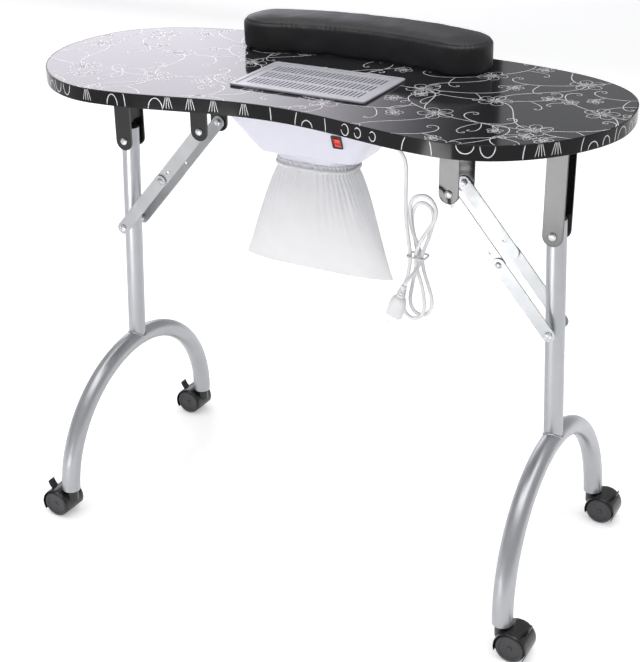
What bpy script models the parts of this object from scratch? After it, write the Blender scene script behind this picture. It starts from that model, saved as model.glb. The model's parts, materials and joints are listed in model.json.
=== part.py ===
"""Folding manicure table with a down-draught dust fan, wrist cushion and two folding arched legs on casters.

Metres, +Z up. +X runs along the top, -Y is the technician's side with the fan switch, and +Y the client's side
with the cushion. The origin is on the floor, midway between the legs.
"""

import math

import bmesh
import bpy
from mathutils import Matrix, Vector

# ---- Driving dimensions ----
GAP = 0.0003  # left between touching pieces

TOP_HEIGHT = 0.740  # floor to work surface
TOP_THICKNESS = 0.020
HALF_LENGTH = 0.4455
FAR_EDGE = 0.1955
END_CENTRE = -0.012
BULGE_X, BULGE_EDGE = 0.265, -0.208  # the two lobes of the near side
WAIST_EDGE = -0.170  # the hollow between them
BAND_THICKNESS = 0.0015
UNDERSIDE = TOP_HEIGHT - TOP_THICKNESS

CUSHION_HALF_LENGTH = 0.203
CUSHION_HALF_DEPTH = 0.049
CUSHION_CENTRE = 0.141
CUSHION_BEND = 0.97  # how strongly its ends curve towards the near side, per metre
CUSHION_HEIGHT = 0.052
BASE_BOARD_THICKNESS = 0.006

FAN_X, FAN_Y = 0.007, -0.041  # axis of the fan, grille and housing
GRILLE_LENGTH, GRILLE_DEPTH, GRILLE_THICKNESS = 0.212, 0.132, 0.0035
CUTOUT_LENGTH, CUTOUT_DEPTH = 0.192, 0.114
SLOT_ROWS, SLOTS_PER_ROW = 3, 28
SLOT_WIDTH, SLOT_LENGTH = 0.0026, 0.026
SLOT_PITCH, ROW_PITCH = 0.0064, 0.034

HOUSING_TOP = (0.244, 0.124)  # outer length and depth at the rim
HOUSING_FLOOR = (0.160, 0.080)
HOUSING_FLOOR_Z = 0.642
HOUSING_SHOULDER_Z = 0.700
HOUSING_WALL = 0.002
HOUSING_FLANGE = 0.012
COLLAR_HALF_LENGTH, COLLAR_HALF_DEPTH = 0.0585, 0.0335
COLLAR_BOTTOM_Z = 0.616
COLLAR_WALL = 0.002

SWITCH_X, SWITCH_Z = 0.066, 0.678
BEZEL_SIZE = (0.016, 0.021)
ROCKER_SIZE = (0.0106, 0.0155)
ROCKER_TILT = math.radians(8)

BAG_NECK_TOP, BAG_BOTTOM = 0.632, 0.457
BAG_HALF_WIDTH = 0.124
BAG_WALL = 0.0016

CORD_RADIUS = 0.00275
CORD_PLANE = -0.050  # the hanging hank lies in this plane
TIE_POINT = (0.170, 0.511)  # x and z of the tie at the hank's waist

HINGE_X = 0.355
LEFT_HINGE_Z, RIGHT_HINGE_Z = 0.596, 0.564  # the left leg folds first and lies above the right one
SPLAY = math.radians(2.75)
POST_RADIUS, ARCH_RADIUS, TUBE_WALL = 0.014, 0.015, 0.0015
POST_ABOVE_HINGE = 0.020
FOOT_Y = 0.197
CROWN_Z, TUBE_END_Z = 0.243, 0.048

BRACKET_WIDTH, BRACKET_PLATE = 0.030, 0.0025
HINGE_CHEEK_OUTER = 0.0180
BRACE_CHEEK_OUTER = 0.0292
BRACE_X, BRACE_RISE = 0.150, 0.040  # the brace bracket's bolt, inboard of and above the hinge
BRACE_DOWN_POST = 0.1436
LINK_HALF_WIDTH, LINK_THICKNESS = 0.010, 0.002
BOLT_RADIUS, HOLE_RADIUS, BOLT_HEAD_RADIUS = 0.003, 0.0033, 0.006

WHEEL_RADIUS, WHEEL_TRAIL = 0.0225, 0.018
HOOD_RADIUS, HOOD_HALF_WIDTH = 0.025, 0.0225
BRAKE_ANGLE = math.radians(48)


# ---- Scene ----
for old in list(bpy.data.objects):
    bpy.data.objects.remove(old)
parts = bpy.data.collections.new("manicure_table")
cutters = bpy.data.collections.new("cutters")
for collection in (parts, cutters):
    bpy.context.scene.collection.children.link(collection)


def material(name, color, roughness, metallic=0.0):
    made = bpy.data.materials.new(name)
    made.use_nodes = True
    shader = made.node_tree.nodes["Principled BSDF"]
    shader.inputs["Base Color"].default_value = (*color, 1.0)
    shader.inputs["Roughness"].default_value = roughness
    shader.inputs["Metallic"].default_value = metallic
    return made


LAMINATE = material("black_laminate", (0.02, 0.02, 0.022), 0.15)
EDGE_PLASTIC = material("black_edge_plastic", (0.01, 0.01, 0.01), 0.25)
LEATHERETTE = material("dark_leatherette", (0.03, 0.03, 0.032), 0.45)
PLYWOOD = material("plywood", (0.55, 0.42, 0.28), 0.7)
WHITE_PLASTIC = material("white_plastic", (0.82, 0.82, 0.86), 0.35)
RED_PLASTIC = material("red_plastic", (0.7, 0.05, 0.03), 0.3)
BLACK_PLASTIC = material("black_plastic", (0.02, 0.02, 0.02), 0.4)
BLACK_STEEL = material("black_painted_steel", (0.015, 0.015, 0.017), 0.3, 0.2)
SILVER_PAINT = material("silver_paint", (0.55, 0.56, 0.58), 0.32, 0.6)
ZINC = material("zinc_plate", (0.72, 0.73, 0.74), 0.3, 0.9)
MOTOR_STEEL = material("motor_steel", (0.4, 0.4, 0.42), 0.35, 0.9)
WHITE_FABRIC = material("white_nonwoven", (0.85, 0.85, 0.86), 0.9)
CORD_VINYL = material("white_cord", (0.85, 0.85, 0.85), 0.45)


# ---- Helpers ----
def place(name, mesh, look, matrix=None, parent=None, smooth=None):
    """An object for one sub-part, placed in its parent's frame or the world's."""
    obj = bpy.data.objects.new(name, mesh)
    parts.objects.link(obj)
    obj.parent = parent
    if matrix is not None:
        obj.matrix_local = matrix
    mesh.materials.clear()
    mesh.materials.append(look)
    if smooth:
        mesh.shade_smooth()
        mesh.set_sharp_from_angle(angle=math.radians(smooth))
    return obj


def plate_mesh(outlines, thickness):
    """A flat plate in XY, centred on z = 0. The first outline is the rim and any others are holes."""
    curve = bpy.data.curves.new("outline", "CURVE")
    curve.dimensions = "2D"
    curve.fill_mode = "BOTH"
    curve.extrude = thickness / 2
    for outline in outlines:
        spline = curve.splines.new("POLY")
        spline.points.add(len(outline) - 1)
        for point, (x, y) in zip(spline.points, outline):
            point.co = (x, y, 0, 1)
        spline.use_cyclic_u = True
    return mesh_of_curve(curve)


def mesh_of_curve(curve):
    """The curve's evaluated surface as a mesh with its loose caps welded on."""
    holder = bpy.data.objects.new("holder", curve)
    bpy.context.scene.collection.objects.link(holder)
    bpy.context.view_layer.update()
    graph = bpy.context.evaluated_depsgraph_get()
    mesh = bpy.data.meshes.new_from_object(holder.evaluated_get(graph))
    bpy.data.objects.remove(holder)
    work = bmesh.new()
    work.from_mesh(mesh)
    bmesh.ops.remove_doubles(work, verts=work.verts, dist=1e-5)
    bmesh.ops.recalc_face_normals(work, faces=work.faces)
    work.to_mesh(mesh)
    work.free()
    return mesh


def box_mesh(size, centre=(0, 0, 0)):
    work = bmesh.new()
    bmesh.ops.create_cube(work, size=1)
    bmesh.ops.scale(work, vec=size, verts=work.verts)
    bmesh.ops.translate(work, vec=centre, verts=work.verts)
    mesh = bpy.data.meshes.new("box")
    work.to_mesh(mesh)
    work.free()
    return mesh


def cylinder_mesh(radius, depth, centre=(0, 0, 0), axis="Z", sides=24):
    work = bmesh.new()
    bmesh.ops.create_cone(work, cap_ends=True, segments=sides, radius1=radius, radius2=radius, depth=depth)
    if axis == "Y":
        bmesh.ops.rotate(work, verts=work.verts, matrix=Matrix.Rotation(math.pi / 2, 3, "X"))
    if axis == "X":
        bmesh.ops.rotate(work, verts=work.verts, matrix=Matrix.Rotation(math.pi / 2, 3, "Y"))
    bmesh.ops.translate(work, vec=centre, verts=work.verts)
    mesh = bpy.data.meshes.new("cylinder")
    work.to_mesh(mesh)
    work.free()
    return mesh


def turned(name, profile, look, matrix=None, parent=None, steps=20, smooth=40):
    """A solid of revolution about its own Z. The profile lists (radius, z) from the top down."""
    work = bmesh.new()
    points = [work.verts.new((r, 0, z)) for r, z in profile]
    for a, b in zip(points, points[1:]):
        work.edges.new((a, b))
    mesh = bpy.data.meshes.new(name)
    work.to_mesh(mesh)
    work.free()
    obj = place(name, mesh, look, matrix, parent)
    screw = obj.modifiers.new("turn", "SCREW")
    screw.steps = screw.render_steps = steps
    screw.use_merge_vertices = True
    screw.merge_threshold = 1e-5
    screw.use_smooth_shade = smooth is not None
    return obj


def cutter(mesh, matrix=None, parent=None):
    obj = bpy.data.objects.new("cutter", mesh)
    cutters.objects.link(obj)
    obj.parent = parent
    if matrix is not None:
        obj.matrix_local = matrix
    obj.hide_render = True
    obj.display_type = "WIRE"
    return obj


def combine(obj, operation, mesh, matrix=None, parent=None):
    """Adds a Boolean of obj with a mesh placed as the object is."""
    other = cutter(mesh, matrix if matrix is not None else obj.matrix_basis.copy(), parent or obj.parent)
    boolean = obj.modifiers.new(operation.lower(), "BOOLEAN")
    boolean.operation = operation
    boolean.object = other
    return other


def shell(obj, thickness):
    solid = obj.modifiers.new("wall", "SOLIDIFY")
    solid.solidify_mode = "NON_MANIFOLD"
    solid.nonmanifold_thickness_mode = "CONSTRAINTS"
    solid.thickness = thickness
    solid.offset = -1


def rounded_rectangle(length, depth, radius, centre=(0, 0), steps=3):
    cx, cy = centre
    corners = (
        (length / 2 - radius, depth / 2 - radius, 0),
        (radius - length / 2, depth / 2 - radius, 90),
        (radius - length / 2, radius - depth / 2, 180),
        (length / 2 - radius, radius - depth / 2, 270),
    )
    return [
        (
            cx + x + radius * math.cos(math.radians(start + 90 * i / steps)),
            cy + y + radius * math.sin(math.radians(start + 90 * i / steps)),
        )
        for x, y, start in corners
        for i in range(steps + 1)
    ]


def superellipse(half_length, half_depth, power, count, centre=(0, 0)):
    points = []
    for i in range(count):
        c, s = math.cos(2 * math.pi * i / count), math.sin(2 * math.pi * i / count)
        x = math.copysign(abs(c) ** (2 / power), c) * half_length
        y = math.copysign(abs(s) ** (2 / power), s) * half_depth
        points.append((centre[0] + x, centre[1] + y))
    return points


def circle(radius, count=16, centre=(0, 0)):
    return superellipse(radius, radius, 2, count, centre)


def bezier(start, start_handle, end_handle, end, steps):
    points = []
    for i in range(steps):
        t = i / steps
        weights = ((1 - t) ** 3, 3 * (1 - t) ** 2 * t, 3 * (1 - t) * t**2, t**3)
        corners = (start, start_handle, end_handle, end)
        points.append(tuple(sum(w * p[k] for w, p in zip(weights, corners)) for k in range(2)))
    return points


def inset(outline, distance):
    """The outline moved inwards, for one that runs clockwise."""
    points = []
    for i, (x, y) in enumerate(outline):
        (x0, y0), (x1, y1) = outline[i - 1], outline[(i + 1) % len(outline)]
        tangent = Vector((x1 - x0, y1 - y0)).normalized()
        points.append((x + tangent.y * distance, y - tangent.x * distance))
    return points


def smooth_path(points, spacing):
    """Points along a Catmull-Rom curve through the given ones, about spacing apart."""
    points = [Vector(p) for p in points]
    ends = [2 * points[0] - points[1], *points, 2 * points[-1] - points[-2]]
    path = []
    for a, b, c, d in zip(ends, ends[1:], ends[2:], ends[3:]):
        steps = max(1, round((c - b).length / spacing))
        for i in range(steps):
            t = i / steps
            path.append(
                0.5 * (2 * b + (c - a) * t + (2 * a - 5 * b + 4 * c - d) * t**2 + (3 * b - a - 3 * c + d) * t**3)
            )
    return [*path, points[-1]]


def tube_curve(points, radius, filled, bevel_resolution=2):
    curve = bpy.data.curves.new("tube", "CURVE")
    curve.dimensions = "3D"
    curve.bevel_depth = radius
    curve.bevel_resolution = bevel_resolution
    curve.use_fill_caps = filled
    spline = curve.splines.new("POLY")
    spline.points.add(len(points) - 1)
    for point, co in zip(spline.points, points):
        point.co = (*co, 1)
    return curve


ALONG_Y = Matrix.Rotation(math.pi / 2, 4, "X")  # turns a plate in XY into one in XZ, its thickness along Y


def upright(y=0.0):
    """Places an XY outline in the XZ plane at this y."""
    return Matrix.Translation((0, y, 0)) @ ALONG_Y


# ---- Table top ----
def top_outline():
    """Clockwise from the middle of the far side."""
    right = (
        bezier((0, FAR_EDGE), (0.325, FAR_EDGE), (HALF_LENGTH, 0.156), (HALF_LENGTH, END_CENTRE), 12)
        + bezier((HALF_LENGTH, END_CENTRE), (HALF_LENGTH, -0.099), (0.365, BULGE_EDGE), (BULGE_X, BULGE_EDGE), 9)
        + bezier((BULGE_X, BULGE_EDGE), (0.170, BULGE_EDGE), (0.100, WAIST_EDGE), (0, WAIST_EDGE), 8)
        + [(0, WAIST_EDGE)]
    )
    left = [(-x, y) for x, y in right[-2:0:-1]]
    return right + left


def make_top():
    outline = top_outline()
    middle = Matrix.Translation((0, 0, TOP_HEIGHT - TOP_THICKNESS / 2))
    opening = rounded_rectangle(CUTOUT_LENGTH, CUTOUT_DEPTH, 0.006, (FAN_X, FAN_Y))
    board = plate_mesh([inset(outline, BAND_THICKNESS + GAP), opening], TOP_THICKNESS)
    place("tabletop", board, LAMINATE, middle)
    band = plate_mesh([outline, inset(outline, BAND_THICKNESS)], TOP_THICKNESS)
    place("edge_band", band, EDGE_PLASTIC, middle)


def cushion_outline(margin=0.0, count=10):
    """A bean: a round-ended strip whose middle line is an arc bent towards the near side."""
    half = CUSHION_HALF_DEPTH - margin
    reach = CUSHION_HALF_LENGTH - CUSHION_HALF_DEPTH

    def spine(x):
        return Vector((x, CUSHION_CENTRE - CUSHION_BEND * x * x)), Vector((1, -2 * CUSHION_BEND * x)).normalized()

    far, near = [], []
    for i in range(count + 1):
        middle, along = spine(reach * (2 * i / count - 1))
        normal = Vector((-along.y, along.x))
        far.append(tuple(middle + half * normal))
        near.append(tuple(middle - half * normal))
    ends = []
    for x, turn in ((reach, 1), (-reach, -1)):
        middle, along = spine(x)
        normal = Vector((-along.y, along.x))
        ends.append(
            [
                tuple(middle + half * (math.cos(a) * turn * normal + math.sin(a) * turn * along))
                for a in (math.pi * k / 8 for k in range(1, 8))
            ]
        )
    return far + ends[0] + near[::-1] + ends[1]


def make_cushion():
    base_z = TOP_HEIGHT + GAP
    board = plate_mesh([cushion_outline(0.006)], BASE_BOARD_THICKNESS)
    place("cushion_base_board", board, PLYWOOD, Matrix.Translation((0, 0, base_z + BASE_BOARD_THICKNESS / 2)))
    bottom = base_z + BASE_BOARD_THICKNESS + GAP
    height = TOP_HEIGHT + CUSHION_HEIGHT - bottom
    pad = place(
        "wrist_cushion",
        plate_mesh([cushion_outline()], height),
        LEATHERETTE,
        Matrix.Translation((0, 0, bottom + height / 2)),
    )
    rounding = pad.modifiers.new("rounding", "BEVEL")
    rounding.width = 0.009
    rounding.segments = 2
    rounding.limit_method = "ANGLE"
    rounding.angle_limit = math.radians(50)


# ---- Dust fan under the top ----
def make_grille():
    slots = []
    for row in range(SLOT_ROWS):
        for column in range(SLOTS_PER_ROW):
            x = (column - (SLOTS_PER_ROW - 1) / 2) * SLOT_PITCH
            y = (row - (SLOT_ROWS - 1) / 2) * ROW_PITCH
            corners = ((-1, -1), (1, -1), (1, 1), (-1, 1))
            slots.append([(x + a * SLOT_WIDTH / 2, y + b * SLOT_LENGTH / 2) for a, b in corners])
    panel = plate_mesh([rounded_rectangle(GRILLE_LENGTH, GRILLE_DEPTH, 0.006), *slots], GRILLE_THICKNESS)
    height = TOP_HEIGHT + GAP + GRILLE_THICKNESS / 2
    place("grille_panel", panel, WHITE_PLASTIC, Matrix.Translation((FAN_X, FAN_Y, height)))


def housing_mesh():
    """The hopper as an open surface: a flange, straight sides to the shoulder, then sides that slope to the floor."""
    (top_length, top_depth), (floor_length, floor_depth) = HOUSING_TOP, HOUSING_FLOOR
    rim_z = UNDERSIDE - GAP - HOUSING_WALL
    levels = (
        (top_length + 2 * HOUSING_FLANGE, top_depth + 2 * HOUSING_FLANGE, rim_z),
        (top_length, top_depth, rim_z),
        (top_length, top_depth, HOUSING_SHOULDER_Z),
        (floor_length, floor_depth, HOUSING_FLOOR_Z),
    )
    work = bmesh.new()
    rings = [
        [work.verts.new((x * length / 2, y * depth / 2, z)) for x, y in ((-1, -1), (1, -1), (1, 1), (-1, 1))]
        for length, depth, z in levels
    ]
    for upper, lower in zip(rings, rings[1:]):
        for i in range(4):
            work.faces.new((upper[i], lower[i], lower[(i + 1) % 4], upper[(i + 1) % 4]))
    work.faces.new(rings[-1][::-1])
    bmesh.ops.recalc_face_normals(work, faces=work.faces)
    if rings[-1][0].link_faces[0].normal.dot(Vector((-1, -1, -1))) < 0:
        bmesh.ops.reverse_faces(work, faces=work.faces)
    mesh = bpy.data.meshes.new("fan_housing")
    work.to_mesh(mesh)
    work.free()
    return mesh


def front_face_frame():
    """The switch's frame on the sloping near wall: X across, Y up the slope, Z out of it."""
    slope = math.atan2(
        (HOUSING_TOP[1] - HOUSING_FLOOR[1]) / 2,
        HOUSING_SHOULDER_Z - HOUSING_FLOOR_Z,
    )
    y = FAN_Y - HOUSING_FLOOR[1] / 2 - (SWITCH_Z - HOUSING_FLOOR_Z) * math.tan(slope)
    return Matrix.Translation((SWITCH_X, y, SWITCH_Z)) @ Matrix.Rotation(math.pi / 2 + slope, 4, "X")


def make_housing():
    middle = Matrix.Translation((FAN_X, FAN_Y, 0))
    housing = place("fan_housing", housing_mesh(), WHITE_PLASTIC, middle)
    shell(housing, HOUSING_WALL)
    outlet = superellipse(COLLAR_HALF_LENGTH - COLLAR_WALL, COLLAR_HALF_DEPTH - COLLAR_WALL, 3, 24)
    at_floor = Matrix.Translation((FAN_X, FAN_Y, HOUSING_FLOOR_Z))
    combine(housing, "DIFFERENCE", plate_mesh([outlet], 0.01), at_floor)
    switch_hole = box_mesh((BEZEL_SIZE[0] - 0.003, BEZEL_SIZE[1] - 0.003, 0.012))
    combine(housing, "DIFFERENCE", switch_hole, front_face_frame())

    collar_height = HOUSING_FLOOR_Z - GAP - COLLAR_BOTTOM_Z
    outer = superellipse(COLLAR_HALF_LENGTH, COLLAR_HALF_DEPTH, 3, 24)
    collar = plate_mesh([outer, outlet], collar_height)
    place(
        "outlet_collar", collar, WHITE_PLASTIC, Matrix.Translation((FAN_X, FAN_Y, COLLAR_BOTTOM_Z + collar_height / 2))
    )


MOUNT_Z, MOUNT_THICKNESS = 0.6560, 0.003
MOTOR_RADIUS, MOTOR_HEIGHT = 0.019, 0.024
SHAFT_RADIUS = 0.002
IMPELLER_RADIUS, HUB_RADIUS, HUB_HEIGHT = 0.045, 0.015, 0.014


def make_fan():
    floor_slope = (HOUSING_TOP[1] - HOUSING_FLOOR[1]) / 2 / (HOUSING_SHOULDER_Z - HOUSING_FLOOR_Z)
    half_span = HOUSING_FLOOR[1] / 2 - HOUSING_WALL + (MOUNT_Z - MOUNT_THICKNESS / 2 - HOUSING_FLOOR_Z) * floor_slope
    bar = box_mesh((0.024, 2 * (half_span - 0.001), MOUNT_THICKNESS))
    place("motor_mount", bar, ZINC, Matrix.Translation((FAN_X, FAN_Y, MOUNT_Z)))
    motor_bottom = MOUNT_Z + MOUNT_THICKNESS / 2 + GAP
    shaft_top = MOTOR_HEIGHT + GAP + HUB_HEIGHT - 0.003
    turned(
        "fan_motor",
        [
            (0, shaft_top),
            (SHAFT_RADIUS, shaft_top),
            (SHAFT_RADIUS, MOTOR_HEIGHT),
            (MOTOR_RADIUS - 0.002, MOTOR_HEIGHT),
            (MOTOR_RADIUS, MOTOR_HEIGHT - 0.002),
            (MOTOR_RADIUS, 0),
            (0, 0),
        ],
        MOTOR_STEEL,
        Matrix.Translation((FAN_X, FAN_Y, motor_bottom)),
    )
    hub_bottom = motor_bottom + MOTOR_HEIGHT + GAP
    bore = SHAFT_RADIUS + 0.0002
    impeller = turned(
        "fan_impeller",
        [
            (0, HUB_HEIGHT),
            (HUB_RADIUS - 0.002, HUB_HEIGHT),
            (HUB_RADIUS, HUB_HEIGHT - 0.002),
            (HUB_RADIUS, 0),
            (bore, 0),
            (bore, HUB_HEIGHT - 0.002),
            (0, HUB_HEIGHT - 0.002),
        ],
        BLACK_PLASTIC,
        Matrix.Translation((FAN_X, FAN_Y, hub_bottom)),
    )
    blade_length = IMPELLER_RADIUS - HUB_RADIUS + 0.002
    for i in range(5):
        blade = box_mesh((blade_length, 0.020, 0.0016), (HUB_RADIUS - 0.002 + blade_length / 2, 0, 0))
        turn = (
            Matrix.Translation((FAN_X, FAN_Y, hub_bottom + HUB_HEIGHT / 2))
            @ Matrix.Rotation(2 * math.pi * i / 5, 4, "Z")
            @ Matrix.Rotation(math.radians(28), 4, "X")
        )
        combine(impeller, "UNION", blade, turn)


def make_switch():
    frame = front_face_frame()
    opening = (ROCKER_SIZE[0] + 0.0006, ROCKER_SIZE[1] + 0.0010)
    bezel = plate_mesh(
        [rounded_rectangle(*BEZEL_SIZE, 0.0012), rounded_rectangle(*opening, 0.0006)],
        0.0018,
    )
    place("switch_bezel", bezel, BLACK_PLASTIC, frame @ Matrix.Translation((0, 0, GAP + 0.0009)))
    half = ROCKER_SIZE[1] / 2
    profile = [(-half, 0.0), (-half, 0.0020), (0, 0.0006), (half, 0.0020), (half, 0.0), (0.004, -0.004), (-0.004, -0.004)]
    sideways = Matrix.Rotation(math.pi / 2, 4, "Y") @ Matrix.Rotation(math.pi / 2, 4, "Z")
    rocker = plate_mesh([profile], ROCKER_SIZE[0])
    place("switch_rocker", rocker, RED_PLASTIC, frame @ Matrix.Rotation(ROCKER_TILT, 4, "X") @ sideways)


# ---- Dust bag ----
def bag_section(share):
    """Half length, half depth and middle x of the bag, share running from 0 at the neck to 1 at the bottom seam."""
    neck = COLLAR_HALF_LENGTH + BAG_WALL + 0.0006, COLLAR_HALF_DEPTH + BAG_WALL + 0.0006
    ease = min(1.0, max(0.0, (share - 0.12) / 0.88))
    length = neck[0] + (BAG_HALF_WIDTH - neck[0]) * ease**0.9
    belly = math.sin(math.pi * min(1.0, ease * 1.05)) * 0.006
    depth = neck[1] + belly - (neck[1] - 0.008) * ease**2.6
    return length, depth, FAN_X - 0.003 * ease


def make_bag():
    work = bmesh.new()
    rings = []
    for share in (0, 0.12, 0.3, 0.6, 0.85, 1):
        length, depth, middle = bag_section(share)
        z = BAG_NECK_TOP + (BAG_BOTTOM - BAG_NECK_TOP) * share
        outline = superellipse(length, depth, 3 - share, 24, (middle, FAN_Y))
        rings.append([work.verts.new((x, y, z)) for x, y in outline])
    for upper, lower in zip(rings, rings[1:]):
        for i in range(len(upper)):
            j = (i + 1) % len(upper)
            work.faces.new((upper[i], lower[i], lower[j], upper[j]))
    work.faces.new(rings[-1][::-1])
    bmesh.ops.recalc_face_normals(work, faces=work.faces)
    mesh = bpy.data.meshes.new("dust_bag")
    work.to_mesh(mesh)
    work.free()
    shell(place("dust_bag", mesh, WHITE_FABRIC, smooth=50), BAG_WALL)

    length, depth, middle = bag_section(0)
    inner = superellipse(length + 0.0006, depth + 0.0006, 3, 24)
    outer = superellipse(length + 0.0026, depth + 0.0026, 3, 24)
    band = plate_mesh([outer, inner], 0.006)
    place("bag_elastic", band, WHITE_FABRIC, Matrix.Translation((middle, FAN_Y, 0.6240)))


# ---- Power cord ----
RELIEF_START, RELIEF_END = (0.1170, CORD_PLANE, 0.6800), (0.1340, CORD_PLANE, 0.6677)
CORD_ROUTE = [
    RELIEF_END,
    (0.1405, CORD_PLANE, 0.6622),
    (0.1463, CORD_PLANE, 0.6540),
    (0.1492, CORD_PLANE, 0.6440),
    (0.1500, CORD_PLANE, 0.6320),
    (0.1500, CORD_PLANE, 0.6200),
    (0.1498, CORD_PLANE, 0.6095),
]
HANK_HALF_DEPTH = 0.0095
PLUG_TAIL, PLUG_FACE = Vector((0.1620, -0.0760, 0.4760)), Vector((0.1460, -0.0760, 0.4260))
TAIL_ROUTE = [(0.1690, -0.0680, 0.5040), (0.1672, -0.0730, 0.4960), (0.1646, -0.0757, 0.4850), tuple(PLUG_TAIL)]


def hank_outline():
    """The folded cord seen from the front: a wide upper loop, a waist at the tie, and a lower loop."""
    tie_x, tie_z = TIE_POINT
    half = (
        bezier((tie_x + 0.005, 0.6060), (tie_x + 0.026, 0.6060), (tie_x + 0.040, 0.5700), (tie_x + 0.0115, 0.5150), 8)
        + bezier((tie_x + 0.0115, 0.5150), (tie_x + 0.008, 0.500), (tie_x + 0.036, 0.4600), (tie_x + 0.020, 0.4250), 6)
        + bezier((tie_x + 0.020, 0.4250), (tie_x + 0.012, 0.4110), (tie_x - 0.018, 0.4110), (tie_x - 0.024, 0.4300), 6)
        + bezier((tie_x - 0.024, 0.4300), (tie_x - 0.028, 0.4550), (tie_x - 0.010, 0.5000), (tie_x - 0.0115, 0.5150), 6)
        + bezier((tie_x - 0.0115, 0.5150), (tie_x - 0.031, 0.5700), (tie_x - 0.030, 0.6060), (tie_x + 0.005, 0.6060), 8)
    )
    return half


def along(start, end):
    """Turns local +Z to run from start to end, with start as the origin."""
    direction = Vector(end) - Vector(start)
    return Matrix.Translation(start) @ direction.to_track_quat("Z", "X").to_matrix().to_4x4()


def make_cord():
    relief_length = (Vector(RELIEF_END) - Vector(RELIEF_START)).length - GAP
    turned(
        "strain_relief",
        [
            (0, relief_length),
            (CORD_RADIUS + 0.0007, relief_length),
            (0.0050, 0.0035),
            (0.0072, 0.0030),
            (0.0072, 0),
            (0, 0),
        ],
        WHITE_PLASTIC,
        along(RELIEF_START, RELIEF_END),
        steps=16,
    )
    tube = bpy.data.objects.new("power_cord", tube_curve(smooth_path(CORD_ROUTE, 0.006), CORD_RADIUS, True))
    tail = bpy.data.objects.new("power_cord_tail", tube_curve(smooth_path(TAIL_ROUTE, 0.006), CORD_RADIUS, True))
    for cord in (tube, tail):
        cord.data.materials.append(CORD_VINYL)
        parts.objects.link(cord)
    place("cord_hank", plate_mesh([hank_outline()], 2 * HANK_HALF_DEPTH), CORD_VINYL, upright(CORD_PLANE))

    tie_x, tie_z = TIE_POINT
    outer, inner = (0.0300, 2 * HANK_HALF_DEPTH + 0.0036), (0.0270, 2 * HANK_HALF_DEPTH + 0.0010)
    tie = plate_mesh([rounded_rectangle(*outer, 0.004), rounded_rectangle(*inner, 0.003)], 0.003)
    place("cord_tie", tie, CORD_VINYL, Matrix.Translation((tie_x, CORD_PLANE, tie_z + 0.002)))


PLUG_WIDTH, PLUG_THICKNESS = 0.025, 0.016
BLADE_SPACING, BLADE_LENGTH = 0.0127, 0.0165


def make_plug():
    """A two-blade plug: a ribbed tail that widens into the grip."""
    length = (PLUG_FACE - PLUG_TAIL).length
    frame = along(PLUG_TAIL, PLUG_FACE)
    levels = ((GAP, 0.0045, 0.0045), (0.018, 0.0070, 0.0062), (0.026, 0.0118, 0.0078), (length, 0.0125, 0.0080))
    work = bmesh.new()
    rings = []
    for z, half_width, half_thickness in levels:
        outline = superellipse(half_width, half_thickness, 2.6, 16)
        rings.append([work.verts.new((x, y, z)) for x, y in outline])
    for lower, upper in zip(rings, rings[1:]):
        for i in range(16):
            j = (i + 1) % 16
            work.faces.new((lower[i], lower[j], upper[j], upper[i]))
    work.faces.new(rings[0][::-1])
    work.faces.new(rings[-1])
    mesh = bpy.data.meshes.new("plug")
    work.to_mesh(mesh)
    work.free()
    place("plug", mesh, CORD_VINYL, frame, smooth=50)
    for name, side in (("plug_blade_wide", -1), ("plug_blade_narrow", 1)):
        width = 0.0079 if side < 0 else 0.0063
        blade = box_mesh((0.0015, width, BLADE_LENGTH), (side * BLADE_SPACING / 2, 0, length + GAP + BLADE_LENGTH / 2))
        place(name, blade, ZINC, frame)


# ---- Brackets on the underside ----
def make_bracket(name, x, bolt_z, cheek_outer):
    """A folded strip: two cheeks with round ends that hang from a top plate, drilled for the bolt."""
    top = UNDERSIDE - GAP
    bottom = bolt_z - BRACKET_WIDTH / 2
    strip = place(
        name,
        box_mesh((BRACKET_WIDTH, 2 * cheek_outer, top - bottom), (x, 0, (top + bottom) / 2)),
        BLACK_STEEL,
    )
    inside = 2 * (cheek_outer - BRACKET_PLATE)
    room = box_mesh((BRACKET_WIDTH + 0.02, inside, top - BRACKET_PLATE - bottom + 0.02))
    room.transform(Matrix.Translation((x, 0, (top - BRACKET_PLATE + bottom - 0.02) / 2)))
    combine(strip, "DIFFERENCE", room)
    radius = BRACKET_WIDTH / 2
    arc = [
        (x + radius * math.cos(math.radians(a)), bolt_z + radius * math.sin(math.radians(a)))
        for a in range(180, 361, 30)
    ]
    profile = [(x - radius, top + 0.01), *arc, (x + radius, top + 0.01)]
    combine(strip, "INTERSECT", plate_mesh([profile, circle(HOLE_RADIUS, 12, (x, bolt_z))], 0.08), ALONG_Y)
    return strip


def bolt_profile(head_outer, sections, end):
    """A bolt that lies along Y once turned: the head, then (radius, y where it starts) for each shank section."""
    profile = [(0, head_outer), (BOLT_HEAD_RADIUS - 0.0016, head_outer)]
    profile += [(BOLT_HEAD_RADIUS, head_outer - 0.0014), (BOLT_HEAD_RADIUS, sections[0][1])]
    for i, (radius, start) in enumerate(sections):
        stop = sections[i + 1][1] if i + 1 < len(sections) else end
        profile += [(radius, start), (radius, stop)]
    return [*profile, (0, end)]


def make_bolt(name, x, z, profile, front=True, parent=None):
    """Bolts are turned about Z and laid along Y, the head towards -Y when front."""
    turn = Matrix.Rotation(math.pi / 2 if front else -math.pi / 2, 4, "X")
    turned(name, profile, ZINC, Matrix.Translation((x, 0, z)) @ turn, parent, steps=12)


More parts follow.
